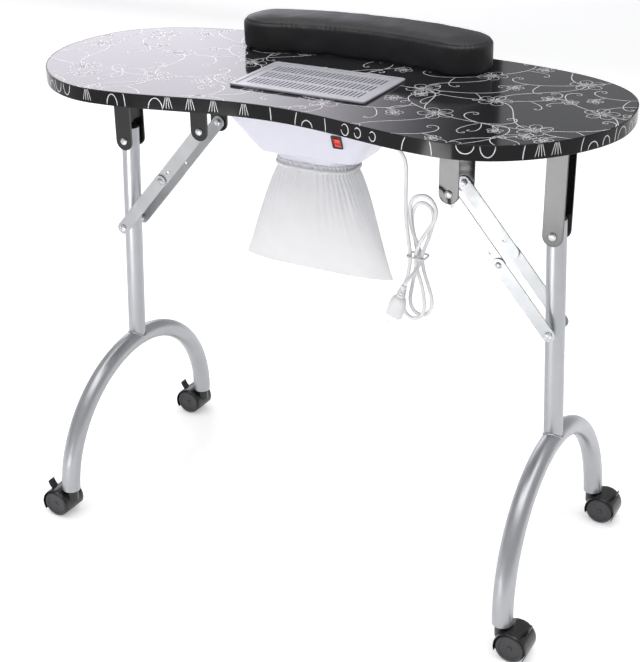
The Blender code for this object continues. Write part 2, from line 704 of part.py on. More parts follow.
def make_side_brackets(side_name, side, hinge_z):
    make_bracket(f"{side_name}_hinge_bracket", side * HINGE_X, hinge_z, HINGE_CHEEK_OUTER)
    far = -HINGE_CHEEK_OUTER - GAP
    hinge_bolt = bolt_profile(
        HINGE_CHEEK_OUTER + GAP + 0.0030,
        [(BOLT_RADIUS, HINGE_CHEEK_OUTER + GAP), (0.0050, far)],
        far - 0.0040,
    )
    make_bolt(f"{side_name}_hinge_bolt", side * HINGE_X, hinge_z, hinge_bolt)

    brace_x, brace_z = side * (HINGE_X - BRACE_X), hinge_z + BRACE_RISE
    make_bracket(f"{side_name}_brace_bracket", brace_x, brace_z, BRACE_CHEEK_OUTER)
    nut = UPPER_LINK_Y - LINK_THICKNESS / 2 - GAP
    brace_bolt = bolt_profile(
        BRACE_CHEEK_OUTER + GAP + 0.0030,
        [(BOLT_RADIUS, BRACE_CHEEK_OUTER + GAP), (0.0050, nut)],
        nut - 0.0035,
    )
    for place_name, front in (("front", True), ("rear", False)):
        make_bolt(f"{side_name}_brace_bracket_bolt_{place_name}", brace_x, brace_z, brace_bolt, front)


# ---- Legs ----
UPPER_LINK_Y = BRACE_CHEEK_OUTER - BRACKET_PLATE - GAP - LINK_THICKNESS / 2
LOWER_LINK_Y = UPPER_LINK_Y + LINK_THICKNESS + GAP


def link_outline(length, hole_at_start=True):
    """A round-ended strip from the origin along +X, drilled at the origin."""
    end = [
        (length + LINK_HALF_WIDTH * math.cos(math.radians(a)), LINK_HALF_WIDTH * math.sin(math.radians(a)))
        for a in range(-90, 91, 30)
    ]
    start = [(-x + length, -y) for x, y in end]
    return [end + start, circle(HOLE_RADIUS, 10)]


def make_links(side_name, side, hinge_z):
    """Each brace is an upper and a lower link. The rivet head is on the lower one, outside the upper one."""
    bracket = Vector((side * (HINGE_X - BRACE_X), hinge_z + BRACE_RISE))
    post = Vector(
        (side * (HINGE_X + BRACE_DOWN_POST * math.sin(SPLAY)), hinge_z - BRACE_DOWN_POST * math.cos(SPLAY))
    )
    length = (post - bracket).length / 2
    down = math.atan2(post.y - bracket.y, post.x - bracket.x)
    for place_name, y_side in (("front", -1), ("rear", 1)):
        for kind, origin, angle, y in (
            ("upper", bracket, down, UPPER_LINK_Y),
            ("lower", post, down + math.pi, LOWER_LINK_Y),
        ):
            matrix = (
                Matrix.Translation((origin.x, y_side * y, origin.y))
                @ Matrix.Rotation(-angle, 4, "Y")
                @ ALONG_Y
            )
            strip = plate_mesh(link_outline(length), LINK_THICKNESS)
            link = place(f"{side_name}_{kind}_link_{place_name}", strip, ZINC, matrix)
            if kind == "lower":
                rivet = cylinder_mesh(0.0042, 0.0016, (length, 0, -y_side * (LINK_THICKNESS / 2 + 0.0004)), sides=10)
                combine(link, "UNION", rivet)


def make_leg(side_name, side, hinge_z):
    leg = bpy.data.objects.new(f"{side_name}_leg_frame", None)
    parts.objects.link(leg)
    leg.matrix_world = Matrix.Translation((side * HINGE_X, 0, hinge_z)) @ Matrix.Rotation(-side * SPLAY, 4, "Y")
    crown = -(hinge_z - CROWN_Z) / math.cos(SPLAY)
    foot = -(hinge_z - TUBE_END_Z) / math.cos(SPLAY)

    post_bottom = crown + ARCH_RADIUS * 0.4
    post_mesh = mesh_of_curve(tube_curve([(0, 0, post_bottom), (0, 0, POST_ABOVE_HINGE)], POST_RADIUS, False, 4))
    post = place(f"{side_name}_post", post_mesh, SILVER_PAINT, parent=leg, smooth=50)
    shell(post, TUBE_WALL)
    off_line = Matrix.Rotation(math.radians(11), 4, "Y")  # keeps the cutters' corners off the post's
    for radius, z, sides in ((ARCH_RADIUS + 0.0009, crown, 22), (HOLE_RADIUS, 0, 10), (HOLE_RADIUS, -BRACE_DOWN_POST, 10)):
        drill = cylinder_mesh(radius, 0.06, axis="Y", sides=sides)
        combine(post, "DIFFERENCE", drill, Matrix.Translation((0, 0, z)) @ off_line)

    inner = (POST_RADIUS - TUBE_WALL) * math.cos(math.pi / 12) - GAP  # the post has 12 sides
    turned(
        f"{side_name}_post_cap",
        [
            (0, POST_ABOVE_HINGE + 0.0060),
            (0.0060, POST_ABOVE_HINGE + 0.0052),
            (0.0115, POST_ABOVE_HINGE + 0.0030),
            (POST_RADIUS, POST_ABOVE_HINGE + GAP),
            (inner, POST_ABOVE_HINGE + GAP),
            (inner, POST_ABOVE_HINGE - 0.009),
            (0, POST_ABOVE_HINGE - 0.009),
        ],
        BLACK_PLASTIC,
        parent=leg,
        steps=20,
    )

    rise = crown - foot
    turns = [math.pi * i / 20 for i in range(21)]
    middle_line = [(0, -FOOT_Y * math.cos(t), foot + rise * math.sin(t)) for t in turns]
    arch_mesh = mesh_of_curve(tube_curve(middle_line, ARCH_RADIUS, False))
    shell(place(f"{side_name}_arch", arch_mesh, SILVER_PAINT, parent=leg, smooth=50), TUBE_WALL)

    outer = LOWER_LINK_Y + LINK_THICKNESS / 2 + GAP
    sleeve_outer = LOWER_LINK_Y - LINK_THICKNESS / 2 - GAP
    sleeve_inner = POST_RADIUS + GAP
    through_bolt = bolt_profile(
        outer + 0.0030,
        [
            (BOLT_RADIUS, outer),
            (0.0050, sleeve_outer),
            (BOLT_RADIUS, sleeve_inner),
            (0.0050, -sleeve_inner),
            (BOLT_RADIUS, -sleeve_outer),
            (0.0050, -outer),
        ],
        -outer - 0.0035,
    )
    make_bolt(f"{side_name}_brace_post_bolt", 0, -BRACE_DOWN_POST, through_bolt, parent=leg)
    for place_name, y_side in (("front", -1), ("rear", 1)):
        make_caster(f"{side_name}_{place_name}", side, leg, (0, y_side * FOOT_Y, foot))


# ---- Casters ----
STEM_RADIUS, STEM_LENGTH, NECK_RADIUS = 0.0112, 0.014, 0.0115
WEB_HALF_WIDTH, AXLE_RADIUS, AXLE_HOLE = 0.0036, 0.0025, 0.0029
POCKET_RADIUS = WHEEL_RADIUS + 0.0011
WHEEL_DROP = (TUBE_END_Z - WHEEL_RADIUS + WHEEL_TRAIL * math.sin(SPLAY)) / math.cos(SPLAY)


def make_caster(name, side, leg, tube_end):
    """A hooded twin-wheel caster. Its wheels trail outboard of the stem, and the brake lever is on that side."""
    frame = bpy.data.objects.new(f"{name}_caster_frame", None)
    parts.objects.link(frame)
    frame.parent = leg
    turn = 0 if side > 0 else math.pi
    frame.matrix_local = Matrix.Translation(tube_end) @ Matrix.Rotation(turn, 4, "Z")

    axle = Matrix.Translation((WHEEL_TRAIL, 0, -WHEEL_DROP))
    arc = [
        (HOOD_RADIUS * math.cos(math.radians(a)), HOOD_RADIUS * math.sin(math.radians(a))) for a in range(-36, 199, 18)
    ]
    hood_matrix = axle @ ALONG_Y
    hood = place(f"{name}_caster_hood", plate_mesh([arc], 2 * HOOD_HALF_WIDTH), BLACK_PLASTIC, hood_matrix, frame)
    neck_height = WHEEL_DROP - GAP + 0.004
    neck = cylinder_mesh(NECK_RADIUS, neck_height, (0, 0, -GAP - neck_height / 2), sides=16)
    combine(hood, "UNION", neck, Matrix.Identity(4), frame)
    stem = cylinder_mesh(STEM_RADIUS, STEM_LENGTH, (0, 0, STEM_LENGTH / 2 + 0.0004), sides=16)
    rod = cylinder_mesh(0.006, 0.012, (0, 0, 0), sides=16)
    combine(hood, "UNION", rod, Matrix.Identity(4), frame)
    combine(hood, "UNION", stem, Matrix.Identity(4), frame)
    for y_side in (-1, 1):
        depth = HOOD_HALF_WIDTH + 0.01 - WEB_HALF_WIDTH
        pocket = cylinder_mesh(POCKET_RADIUS, depth, (0, y_side * (WEB_HALF_WIDTH + depth / 2), 0), "Y", 20)
        combine(hood, "DIFFERENCE", pocket, axle, frame)
    combine(hood, "DIFFERENCE", cylinder_mesh(AXLE_HOLE, 0.02, axis="Y", sides=14), axle, frame)

    lever_pivot = axle @ Matrix.Rotation(-BRAKE_ANGLE, 4, "Y") @ Matrix.Translation((HOOD_RADIUS - 0.0002, 0, 0))
    slot = box_mesh((0.0052, 0.0150, 0.0050), (0.0010, 0, 0))
    combine(hood, "DIFFERENCE", slot, lever_pivot, frame)
    barrel = [(0.0015 * math.cos(math.radians(a)), 0.0015 * math.sin(math.radians(a))) for a in range(60, 301, 30)]
    tab = [*barrel, (0.0050, -0.0010), (0.0125, 0.0008), (0.0130, 0.0022), (0.0050, 0.0010)]
    lever_matrix = lever_pivot @ ALONG_Y
    place(f"{name}_brake_lever", plate_mesh([tab], 0.0140), BLACK_PLASTIC, lever_matrix, frame)

    half = HOOD_HALF_WIDTH - 0.0008
    inner = WEB_HALF_WIDTH + 0.0008
    rim = [
        (0, half - 0.0006),
        (0.0150, half - 0.0006),
        (0.0190, half),
        (WHEEL_RADIUS, half - 0.0032),
        (WHEEL_RADIUS, inner + 0.0018),
        (WHEEL_RADIUS - 0.0018, inner),
        (AXLE_RADIUS, inner),
    ]
    wheel_profile = rim + [(r, -z) for r, z in reversed(rim)]
    turned(f"{name}_caster_wheels", wheel_profile, BLACK_PLASTIC, axle @ ALONG_Y, frame, steps=16)


make_top()
make_cushion()
make_grille()
make_housing()
make_fan()
make_switch()
make_bag()
make_cord()
make_plug()
for side_name, side, hinge_z in (("left", -1, LEFT_HINGE_Z), ("right", 1, RIGHT_HINGE_Z)):
    make_side_brackets(side_name, side, hinge_z)
    make_links(side_name, side, hinge_z)
    make_leg(side_name, side, hinge_z)
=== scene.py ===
"""The looks of the folding manicure table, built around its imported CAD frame. Metres, +Z up."""

import json
import math
import random

import bmesh
import bpy
import numpy as np
from mathutils import Matrix, Vector, kdtree, noise


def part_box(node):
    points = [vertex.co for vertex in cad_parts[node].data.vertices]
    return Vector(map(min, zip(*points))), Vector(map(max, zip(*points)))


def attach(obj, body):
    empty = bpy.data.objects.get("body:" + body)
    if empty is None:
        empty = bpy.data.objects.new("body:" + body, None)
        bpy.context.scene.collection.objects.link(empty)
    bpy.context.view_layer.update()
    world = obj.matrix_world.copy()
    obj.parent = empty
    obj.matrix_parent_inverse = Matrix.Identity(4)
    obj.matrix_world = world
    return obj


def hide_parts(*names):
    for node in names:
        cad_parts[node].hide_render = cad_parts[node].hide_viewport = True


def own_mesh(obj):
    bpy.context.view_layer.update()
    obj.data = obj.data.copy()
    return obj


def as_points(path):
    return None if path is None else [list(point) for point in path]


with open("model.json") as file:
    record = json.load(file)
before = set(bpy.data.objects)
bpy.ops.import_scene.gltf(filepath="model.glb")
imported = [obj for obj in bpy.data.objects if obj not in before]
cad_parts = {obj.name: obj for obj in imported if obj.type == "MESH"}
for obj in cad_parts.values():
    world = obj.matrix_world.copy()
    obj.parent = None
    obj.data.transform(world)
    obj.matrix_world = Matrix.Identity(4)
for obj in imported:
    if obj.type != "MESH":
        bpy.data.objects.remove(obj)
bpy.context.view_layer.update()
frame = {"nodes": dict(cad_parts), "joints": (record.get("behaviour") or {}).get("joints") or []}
scene = bpy.context.scene
scene.view_settings.view_transform = "Standard"

SIDES = (("left", -1), ("right", 1))
ENDS = (("front", -1), ("rear", 1))
ALONG_Y = Matrix.Rotation(math.pi / 2, 4, "X")  # turns a plate in XY into one in XZ, its local +Z towards -Y
GAP = 0.0003


def joint_pivot(name):
    return Vector(next(j for j in frame["joints"] if j["name"] == name)["pos_m"])


def box_of(node):
    low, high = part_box(node)
    return Vector(low), Vector(high)


# ---- Camera ----
CAMERA_PLACE = Vector((0.9155, -1.6833, 1.2625))
CAMERA_YAW, CAMERA_PITCH, CAMERA_ROLL = 0.5060, 0.4504, -0.01305  # radians
CAMERA_LENS = 74.57


def make_camera():
    level = Matrix.Rotation(CAMERA_YAW, 4, "Z") @ Matrix.Rotation(math.pi / 2 - CAMERA_PITCH, 4, "X")
    camera = bpy.data.objects.new("camera", bpy.data.cameras.new("camera"))
    camera.data.lens = CAMERA_LENS
    camera.matrix_world = Matrix.Translation(CAMERA_PLACE) @ level @ Matrix.Rotation(CAMERA_ROLL, 4, "Z")
    scene.collection.objects.link(camera)
    scene.camera = camera


# ---- Mesh tools ----
def mesh_from(work):
    mesh = bpy.data.meshes.new("piece")
    work.to_mesh(mesh)
    work.free()
    return mesh


def merged(*meshes):
    """Several meshes as one. Each may be a (mesh, matrix) pair."""
    work = bmesh.new()
    for item in meshes:
        mesh, matrix = item if isinstance(item, tuple) else (item, Matrix.Identity(4))
        copy = mesh.copy()
        copy.transform(matrix)
        work.from_mesh(copy)
        bpy.data.meshes.remove(copy)
    return mesh_from(work)


WELD_DISTANCE = 1e-5


def plate(outlines, thickness, rounding=0.0, steps=1):
    """A flat plate in XY, centred on z = 0, with rounded edges. The first outline is the rim and any others are holes."""
    curve = bpy.data.curves.new("outline", "CURVE")
    curve.dimensions = "2D"
    curve.fill_mode = "BOTH"
    curve.extrude = thickness / 2 - rounding
    curve.bevel_depth = rounding
    curve.bevel_resolution = steps
    curve.offset = -rounding
    for outline in outlines:
        spline = curve.splines.new("POLY")
        spline.points.add(len(outline) - 1)
        for point, (x, y) in zip(spline.points, outline):
            point.co = (x, y, 0, 1)
        spline.use_cyclic_u = True
    holder = bpy.data.objects.new("holder", curve)
    scene.collection.objects.link(holder)
    bpy.context.view_layer.update()
    mesh = bpy.data.meshes.new_from_object(holder.evaluated_get(bpy.context.evaluated_depsgraph_get()))
    bpy.data.objects.remove(holder)
    work = bmesh.new()
    work.from_mesh(mesh)
    bmesh.ops.remove_doubles(work, verts=work.verts, dist=WELD_DISTANCE)
    bmesh.ops.recalc_face_normals(work, faces=work.faces)
    return mesh_from(work)


def loft(rings, cap_start=True, cap_end=True, closed=False):
    """A skin over rings that all have the same number of points."""
    work = bmesh.new()
    rows = [[work.verts.new(point) for point in ring] for ring in rings]
    pairs = list(zip(rows, rows[1:])) + ([(rows[-1], rows[0])] if closed else [])
    for a, b in pairs:
        for i in range(len(a)):
            j = (i + 1) % len(a)
            work.faces.new((a[i], a[j], b[j], b[i]))
    if cap_start and not closed:
        work.faces.new(rows[0][::-1])
    if cap_end and not closed:
        work.faces.new(rows[-1])
    bmesh.ops.recalc_face_normals(work, faces=work.faces)
    return mesh_from(work)


def turned(profile, steps=40, closed=False):
    """A solid of revolution about Z through (radius, z) points. A closed profile makes a ring."""
    turns = [2 * math.pi * i / steps for i in range(steps)]
    rings = [[(r * math.cos(a), r * math.sin(a), z) for a in turns] for r, z in profile]
    return loft(rings, closed=closed)


def sweep(path, section, closed=False, start_normal=(0, 0, 1)):
    """The section, as (across, up) offsets, carried along the path without twist."""
    path = [Vector(p) for p in path]
    count = len(path)
    tangents = []
    for i in range(count):
        before = path[i - 1] if i or closed else path[i]
        after = path[(i + 1) % count] if i + 1 < count or closed else path[i]
        tangents.append((after - before).normalized())
    normal = Vector(start_normal)
    rings = []
    for i, (point, tangent) in enumerate(zip(path, tangents)):
        if i:
            normal = tangents[i - 1].rotation_difference(tangent) @ normal
        normal = (normal - normal.dot(tangent) * tangent).normalized()
        across = tangent.cross(normal)
        rings.append([point + a * across + b * normal for a, b in section])
    return loft(rings, closed=closed)


def circle(radius, count=24, centre=(0, 0)):
    turns = [2 * math.pi * i / count for i in range(count)]
    return [(centre[0] + radius * math.cos(a), centre[1] + radius * math.sin(a)) for a in turns]


def superellipse(half_length, half_depth, power, count, centre=(0, 0)):
    points = []
    for i in range(count):
        c, s = math.cos(2 * math.pi * i / count), math.sin(2 * math.pi * i / count)
        x = math.copysign(abs(c) ** (2 / power), c) * half_length
        y = math.copysign(abs(s) ** (2 / power), s) * half_depth
        points.append((centre[0] + x, centre[1] + y))
    return points


def rounded_rectangle(length, depth, radius, centre=(0, 0), steps=6):
    corners = ((1, 1, 0), (-1, 1, 90), (-1, -1, 180), (1, -1, 270))
    points = []
    for sx, sy, start in corners:
        x = centre[0] + sx * (length / 2 - radius)
        y = centre[1] + sy * (depth / 2 - radius)
        for i in range(steps + 1):
            a = math.radians(start + 90 * i / steps)
            points.append((x + radius * math.cos(a), y + radius * math.sin(a)))
    return points


def at_height(outline, z):
    return [(x, y, z) for x, y in outline]


def bezier(start, start_handle, end_handle, end, steps):
    """Points of a cubic curve, without its end."""
    points = []
    for i in range(steps):
        t = i / steps
        weights = ((1 - t) ** 3, 3 * (1 - t) ** 2 * t, 3 * (1 - t) * t**2, t**3)
        corners = (start, start_handle, end_handle, end)
        points.append(tuple(sum(w * p[k] for w, p in zip(weights, corners)) for k in range(2)))
    return points


def inset(outline, distance):
    """The outline moved inwards, for one that runs clockwise."""
    points = []
    for i, (x, y) in enumerate(outline):
        (x0, y0), (x1, y1) = outline[i - 1], outline[(i + 1) % len(outline)]
        tangent = Vector((x1 - x0, y1 - y0)).normalized()
        points.append((x + tangent.y * distance, y - tangent.x * distance))
    return points


def smooth_path(points, spacing):
    """Points along a Catmull-Rom curve through the given ones, about spacing apart."""
    points = [Vector(p) for p in points]
    ends = [2 * points[0] - points[1], *points, 2 * points[-1] - points[-2]]
    path = []
    for a, b, c, d in zip(ends, ends[1:], ends[2:], ends[3:]):
        steps = max(1, round((c - b).length / spacing))
        for i in range(steps):
            t = i / steps
            path.append(
                0.5 * (2 * b + (c - a) * t + (2 * a - 5 * b + 4 * c - d) * t**2 + (3 * b - a - 3 * c + d) * t**3)
            )
    return [*path, points[-1]]


def piece(name, mesh, look, body="root", matrix=None, replaces=(), smooth=35):
    """An object that shows this mesh, rides on a body and may stand for CAD nodes."""
    obj = bpy.data.objects.new(name, mesh)
    scene.collection.objects.link(obj)
    if matrix is not None:
        obj.matrix_world = matrix
    mesh.materials.clear()
    mesh.materials.append(look)
    mesh.shade_smooth()
    mesh.set_sharp_from_angle(angle=math.radians(smooth))
    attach(obj, body)
    if replaces:
        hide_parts(*replaces)
    return obj


def keep_node(node, look):
    """Gives a CAD node that stays its finished material."""
    obj = frame["nodes"][node]
    for holder in obj.material_slots:
        holder.material = look


# ---- Materials ----
def look(
    name, color, roughness, metallic=0.0, coat=0.0, mottle=0.05, grain=0.0, grain_size=0.0006, wear=0.04, shine=0.5
):
    """A Principled material whose colour, roughness and surface vary at the scale of the real finish.

    mottle is how far the colour drifts, grain is the bump height in metres, and wear is how far the roughness drifts.
    """
    made = bpy.data.materials.new(name)
    made.use_nodes = True
    tree = made.node_tree
    shader = tree.nodes["Principled BSDF"]
    shader.inputs["Metallic"].default_value = metallic
    shader.inputs["Coat Weight"].default_value = coat
    shader.inputs["Coat Roughness"].default_value = 0.05
    shader.inputs["Specular IOR Level"].default_value = shine
    place = tree.nodes.new("ShaderNodeTexCoord")

    def texture(size, detail):
        node = tree.nodes.new("ShaderNodeTexNoise")
        node.inputs["Scale"].default_value = 1 / size
        node.inputs["Detail"].default_value = detail
        tree.links.new(place.outputs["Object"], node.inputs["Vector"])
        return node.outputs["Fac"]

    def ramp(source, low, high):
        node = tree.nodes.new("ShaderNodeValToRGB")
        node.color_ramp.elements[0].position = 0.3
        node.color_ramp.elements[1].position = 0.7
        node.color_ramp.elements[0].color = (*low, 1)
        node.color_ramp.elements[1].color = (*high, 1)
        tree.links.new(source, node.inputs["Fac"])
        return node.outputs["Color"]

    darker = tuple(c * (1 - mottle) for c in color)
    lighter = tuple(min(1.0, c * (1 + mottle)) for c in color)
    tree.links.new(ramp(texture(0.03, 5), darker, lighter), shader.inputs["Base Color"])
    spread = tree.nodes.new("ShaderNodeMapRange")
    spread.inputs["To Min"].default_value = max(0.02, roughness - wear)
    spread.inputs["To Max"].default_value = roughness + wear
    tree.links.new(texture(0.012, 8), spread.inputs["Value"])
    tree.links.new(spread.outputs["Result"], shader.inputs["Roughness"])
    if grain:
        bump = tree.nodes.new("ShaderNodeBump")
        bump.inputs["Distance"].default_value = grain
        bump.inputs["Strength"].default_value = 0.6
        tree.links.new(texture(grain_size, 3), bump.inputs["Height"])
        tree.links.new(bump.outputs["Normal"], shader.inputs["Normal"])
    return made


LAMINATE = look("black_laminate", (0.016, 0.016, 0.018), 0.07, wear=0.02, shine=0.32)
RIM = look("black_rim", (0.004, 0.004, 0.005), 0.10, wear=0.03, shine=0.2)
INK = look("white_print", (0.62, 0.61, 0.63), 0.30, mottle=0.08)
LEATHERETTE = look(
    "black_leatherette",
    (0.020, 0.020, 0.022),
    0.46,
    mottle=0.10,
    grain=0.00012,
    grain_size=0.0011,
    shine=0.3,
)
BOARD_WRAP = look("black_cloth_on_board", (0.015, 0.015, 0.016), 0.75, mottle=0.15, grain=0.0001)
WHITE_PLASTIC = look("white_plastic", (0.62, 0.62, 0.70), 0.30, mottle=0.02, grain=0.00002)
GRILLE_PLASTIC = look("grille_plastic", (0.36, 0.36, 0.40), 0.30, mottle=0.02, grain=0.00002)
RED_PLASTIC = look("red_plastic", (0.72, 0.030, 0.012), 0.22, coat=0.4)
BLACK_PLASTIC = look("black_plastic", (0.015, 0.015, 0.016), 0.38, mottle=0.1, grain=0.00003)
CASTER_BLACK = look("caster_black", (0.014, 0.014, 0.015), 0.24, mottle=0.1, grain=0.00003)
WHEEL_GREY = look("wheel_disc_grey", (0.038, 0.038, 0.041), 0.42, mottle=0.1, grain=0.00006)
BLACK_STEEL = look("black_powder_coat", (0.008, 0.008, 0.009), 0.15, mottle=0.1, grain=0.00004)
SILVER_PAINT = look(
    "silver_paint", (0.43, 0.44, 0.46), 0.34, metallic=0.75, mottle=0.03, grain=0.00003, grain_size=0.0005
)
ZINC = look("zinc_plate", (0.74, 0.75, 0.77), 0.28, metallic=0.8, mottle=0.08, grain=0.00003, wear=0.10)
LINK_STEEL = look(
    "satin_steel", (0.42, 0.43, 0.44), 0.36, metallic=0.7, mottle=0.06, grain=0.00004, wear=0.08
)
BRIGHT_STEEL = look("bright_steel", (0.80, 0.80, 0.80), 0.12, metallic=1.0, wear=0.05)
MOTOR_STEEL = look("motor_steel", (0.40, 0.40, 0.42), 0.35, metallic=0.9)
VINYL = look("white_vinyl", (0.74, 0.74, 0.75), 0.38, mottle=0.02, grain=0.00002)
TIE = look("white_tie", (0.60, 0.60, 0.61), 0.55)


def nonwoven():
    """Thin spun-bonded cloth: pressed dots and fibres, and light shines through it."""
    made = look("nonwoven_cloth", (0.86, 0.86, 0.87), 0.85, mottle=0.03, grain=0.00010, grain_size=0.0010)
    tree = made.node_tree
    shader, output = tree.nodes["Principled BSDF"], tree.nodes["Material Output"]
    glow = tree.nodes.new("ShaderNodeBsdfTranslucent")
    glow.inputs["Color"].default_value = (0.96, 0.96, 0.97, 1)
    mix = tree.nodes.new("ShaderNodeMixShader")
    mix.inputs["Fac"].default_value = 0.5
    tree.links.new(shader.outputs["BSDF"], mix.inputs[1])
    tree.links.new(glow.outputs["BSDF"], mix.inputs[2])
    tree.links.new(mix.outputs["Shader"], output.inputs["Surface"])
    return made


NONWOVEN = nonwoven()

# ---- Table top ----
TOP_LOW, TOP_HIGH = box_of("edge_band")
TOP_Z, UNDERSIDE_Z = TOP_HIGH.z, TOP_LOW.z
TOP_THICKNESS = TOP_Z - UNDERSIDE_Z
TOP_MIDDLE = Matrix.Translation((0, 0, (TOP_Z + UNDERSIDE_Z) / 2))
BAND_THICKNESS = 0.0015
GRILLE_LOW, GRILLE_HIGH = box_of("grille_panel")
GRILLE_CENTRE = (GRILLE_LOW + GRILLE_HIGH) / 2
GRILLE_SIZE = GRILLE_HIGH - GRILLE_LOW
CUTOUT = (GRILLE_SIZE.x - 0.020, GRILLE_SIZE.y - 0.018)


def top_outline():
    """Clockwise from the middle of the far side: a kidney with two lobes on the near side and a hollow between."""
    half, far, near = TOP_HIGH.x, TOP_HIGH.y, TOP_LOW.y
    lobe_x, hollow, end_y = 0.265, -0.170, -0.012
    right = (
        bezier((0, far), (0.325, far), (half, 0.156), (half, end_y), 60)
        + bezier((half, end_y), (half, -0.099), (0.365, near), (lobe_x, near), 36)
        + bezier((lobe_x, near), (0.170, near), (0.100, hollow), (0, hollow), 32)
        + [(0, hollow)]
    )
    return right + [(-x, y) for x, y in right[-2:0:-1]]


OUTLINE = top_outline()


def make_top():
    opening = rounded_rectangle(*CUTOUT, 0.006, GRILLE_CENTRE.xy)
    board = plate([inset(OUTLINE, BAND_THICKNESS + GAP), opening], TOP_THICKNESS, 0.0003)
    piece(
        "worktop", board, LAMINATE, matrix=TOP_MIDDLE, replaces=["tabletop"], smooth=12
    )
    band = plate([OUTLINE, inset(OUTLINE, BAND_THICKNESS)], TOP_THICKNESS, 0.0006, steps=2)
    piece("rim_band", band, RIM, matrix=TOP_MIDDLE, replaces=["edge_band"], smooth=12)


# ---- The print: vines and five-petalled flowers drawn in thin lines ----
VINE_WIDTH, CURL_WIDTH, PETAL_WIDTH = 0.0013, 0.0011, 0.0009
INK_HEIGHT = 0.00008
VINE_PITCH = (0.136, 0.104)
BIG_FLOWER, SMALL_FLOWER = 0.0245, 0.0125


def curl(start, heading, length, side, turns):
    """A tendril that winds tighter towards its end."""
    steps = 40
    x, y = start
    points = [(x, y)]
    for i in range(steps):
        share = (i + 0.5) / steps
        heading += side * 2 * math.pi * turns * (0.12 + 3.5 * share**3) / steps
        stride = length / steps * (1.6 - 1.2 * share)
        x, y = x + stride * math.cos(heading), y + stride * math.sin(heading)
        points.append((x, y))
    return points


def stem(start, end, bulge):
    """An S-shaped runner between two flowers."""
    (x0, y0), (x1, y1) = start, end
    across = (y0 - y1) * bulge, (x1 - x0) * bulge
    first = (x0 + (x1 - x0) * 0.3 + across[0], y0 + (y1 - y0) * 0.3 + across[1])
    second = (x0 + (x1 - x0) * 0.7 - across[0], y0 + (y1 - y0) * 0.7 - across[1])
    return bezier(start, first, second, end, 60) + [end]


def flower(centre, radius, turn):
    """Strokes of one flower: petal outlines and the fine lines that spread from the middle."""
    strokes = []
    for petal in range(5):
        heading = turn + 2 * math.pi * petal / 5
        along = Vector((math.cos(heading), math.sin(heading)))
        across = Vector((-along.y, along.x))
        outline = []
        for i in range(25):
            share = i / 24
            reach = 1 - abs(2 * share - 1)
            width = 0.34 * math.sin(math.pi * min(1.0, reach * 0.92)) ** 0.75 * (1 if share < 0.5 else -1)
            outline.append(Vector(centre) + radius * ((0.10 + 0.90 * reach**0.9) * along + width * across))
        strokes.append((outline, PETAL_WIDTH))
        for spread in (-0.22, 0, 0.22):
            ray = Vector((math.cos(heading + spread), math.sin(heading + spread)))
            inner, outer = 0.08 * radius, (0.62 if spread == 0 else 0.5) * radius
            line = [Vector(centre) + ray * (inner + (outer - inner) * k / 4) for k in range(5)]
            strokes.append((line, PETAL_WIDTH * 0.75))
    return strokes


def vine_strokes():
    """Flowers on a loose diagonal grid, joined by runners, with tendrils and smaller flowers between them."""
    rng = random.Random(23)
    spots = {}
    for row in range(-3, 4):
        for column in range(-5, 6):
            x = (column + 0.5 * (row % 2)) * VINE_PITCH[0] + rng.uniform(-0.018, 0.018)
            y = row * VINE_PITCH[1] + rng.uniform(-0.014, 0.014)
            spots[row, column] = (x, y)
    strokes = []
    for (row, column), spot in spots.items():
        strokes += flower(spot, BIG_FLOWER * rng.uniform(0.88, 1.08), rng.uniform(0, math.pi))
        above = spots.get((row + 1, column))
        if above:
            strokes.append((stem(spot, above, rng.uniform(0.22, 0.38)), VINE_WIDTH))
        heading = rng.uniform(-0.4, 0.9)
        for side, away in ((1, heading), (-1, heading + math.pi)):
            tendril = curl(spot, away, rng.uniform(0.125, 0.175), side, rng.uniform(1.15, 1.45))
            strokes.append((tendril, VINE_WIDTH))
            middle = tendril[rng.randrange(9, 14)]
            twig = curl(middle, away - side * 0.7, rng.uniform(0.050, 0.075), -side, 1.35)
            strokes.append((twig, CURL_WIDTH))
            if rng.random() < 0.6:
                fork = tendril[rng.randrange(15, 19)]
                shoot = curl(fork, away - side * 0.2, rng.uniform(0.022, 0.034), -side, 0.35)
                strokes.append((shoot, CURL_WIDTH))
                strokes += flower(shoot[-1], SMALL_FLOWER * rng.uniform(0.85, 1.1), rng.uniform(0, math.pi))
    return strokes


def inside(points, outline):
    """For each point, whether it lies within the outline."""
    points, edge = np.asarray(points), np.asarray(outline)
    x, y = points[:, 0, None], points[:, 1, None]
    x0, y0 = edge[:, 0], edge[:, 1]
    x1, y1 = np.roll(x0, -1), np.roll(y0, -1)
    crosses = (y0 > y) != (y1 > y)
    rise = np.where(y1 == y0, 1e-12, y1 - y0)
    return (crosses & (x < (x1 - x0) * (y - y0) / rise + x0)).sum(1) % 2 == 1


def resampled(points, spacing):
    points = np.asarray([tuple(p)[:2] for p in points])
    lengths = np.r_[0, np.cumsum(np.linalg.norm(np.diff(points, axis=0), axis=1))]
    marks = np.linspace(0, lengths[-1], max(2, round(lengths[-1] / spacing) + 1))
    return np.c_[np.interp(marks, lengths, points[:, 0]), np.interp(marks, lengths, points[:, 1])]


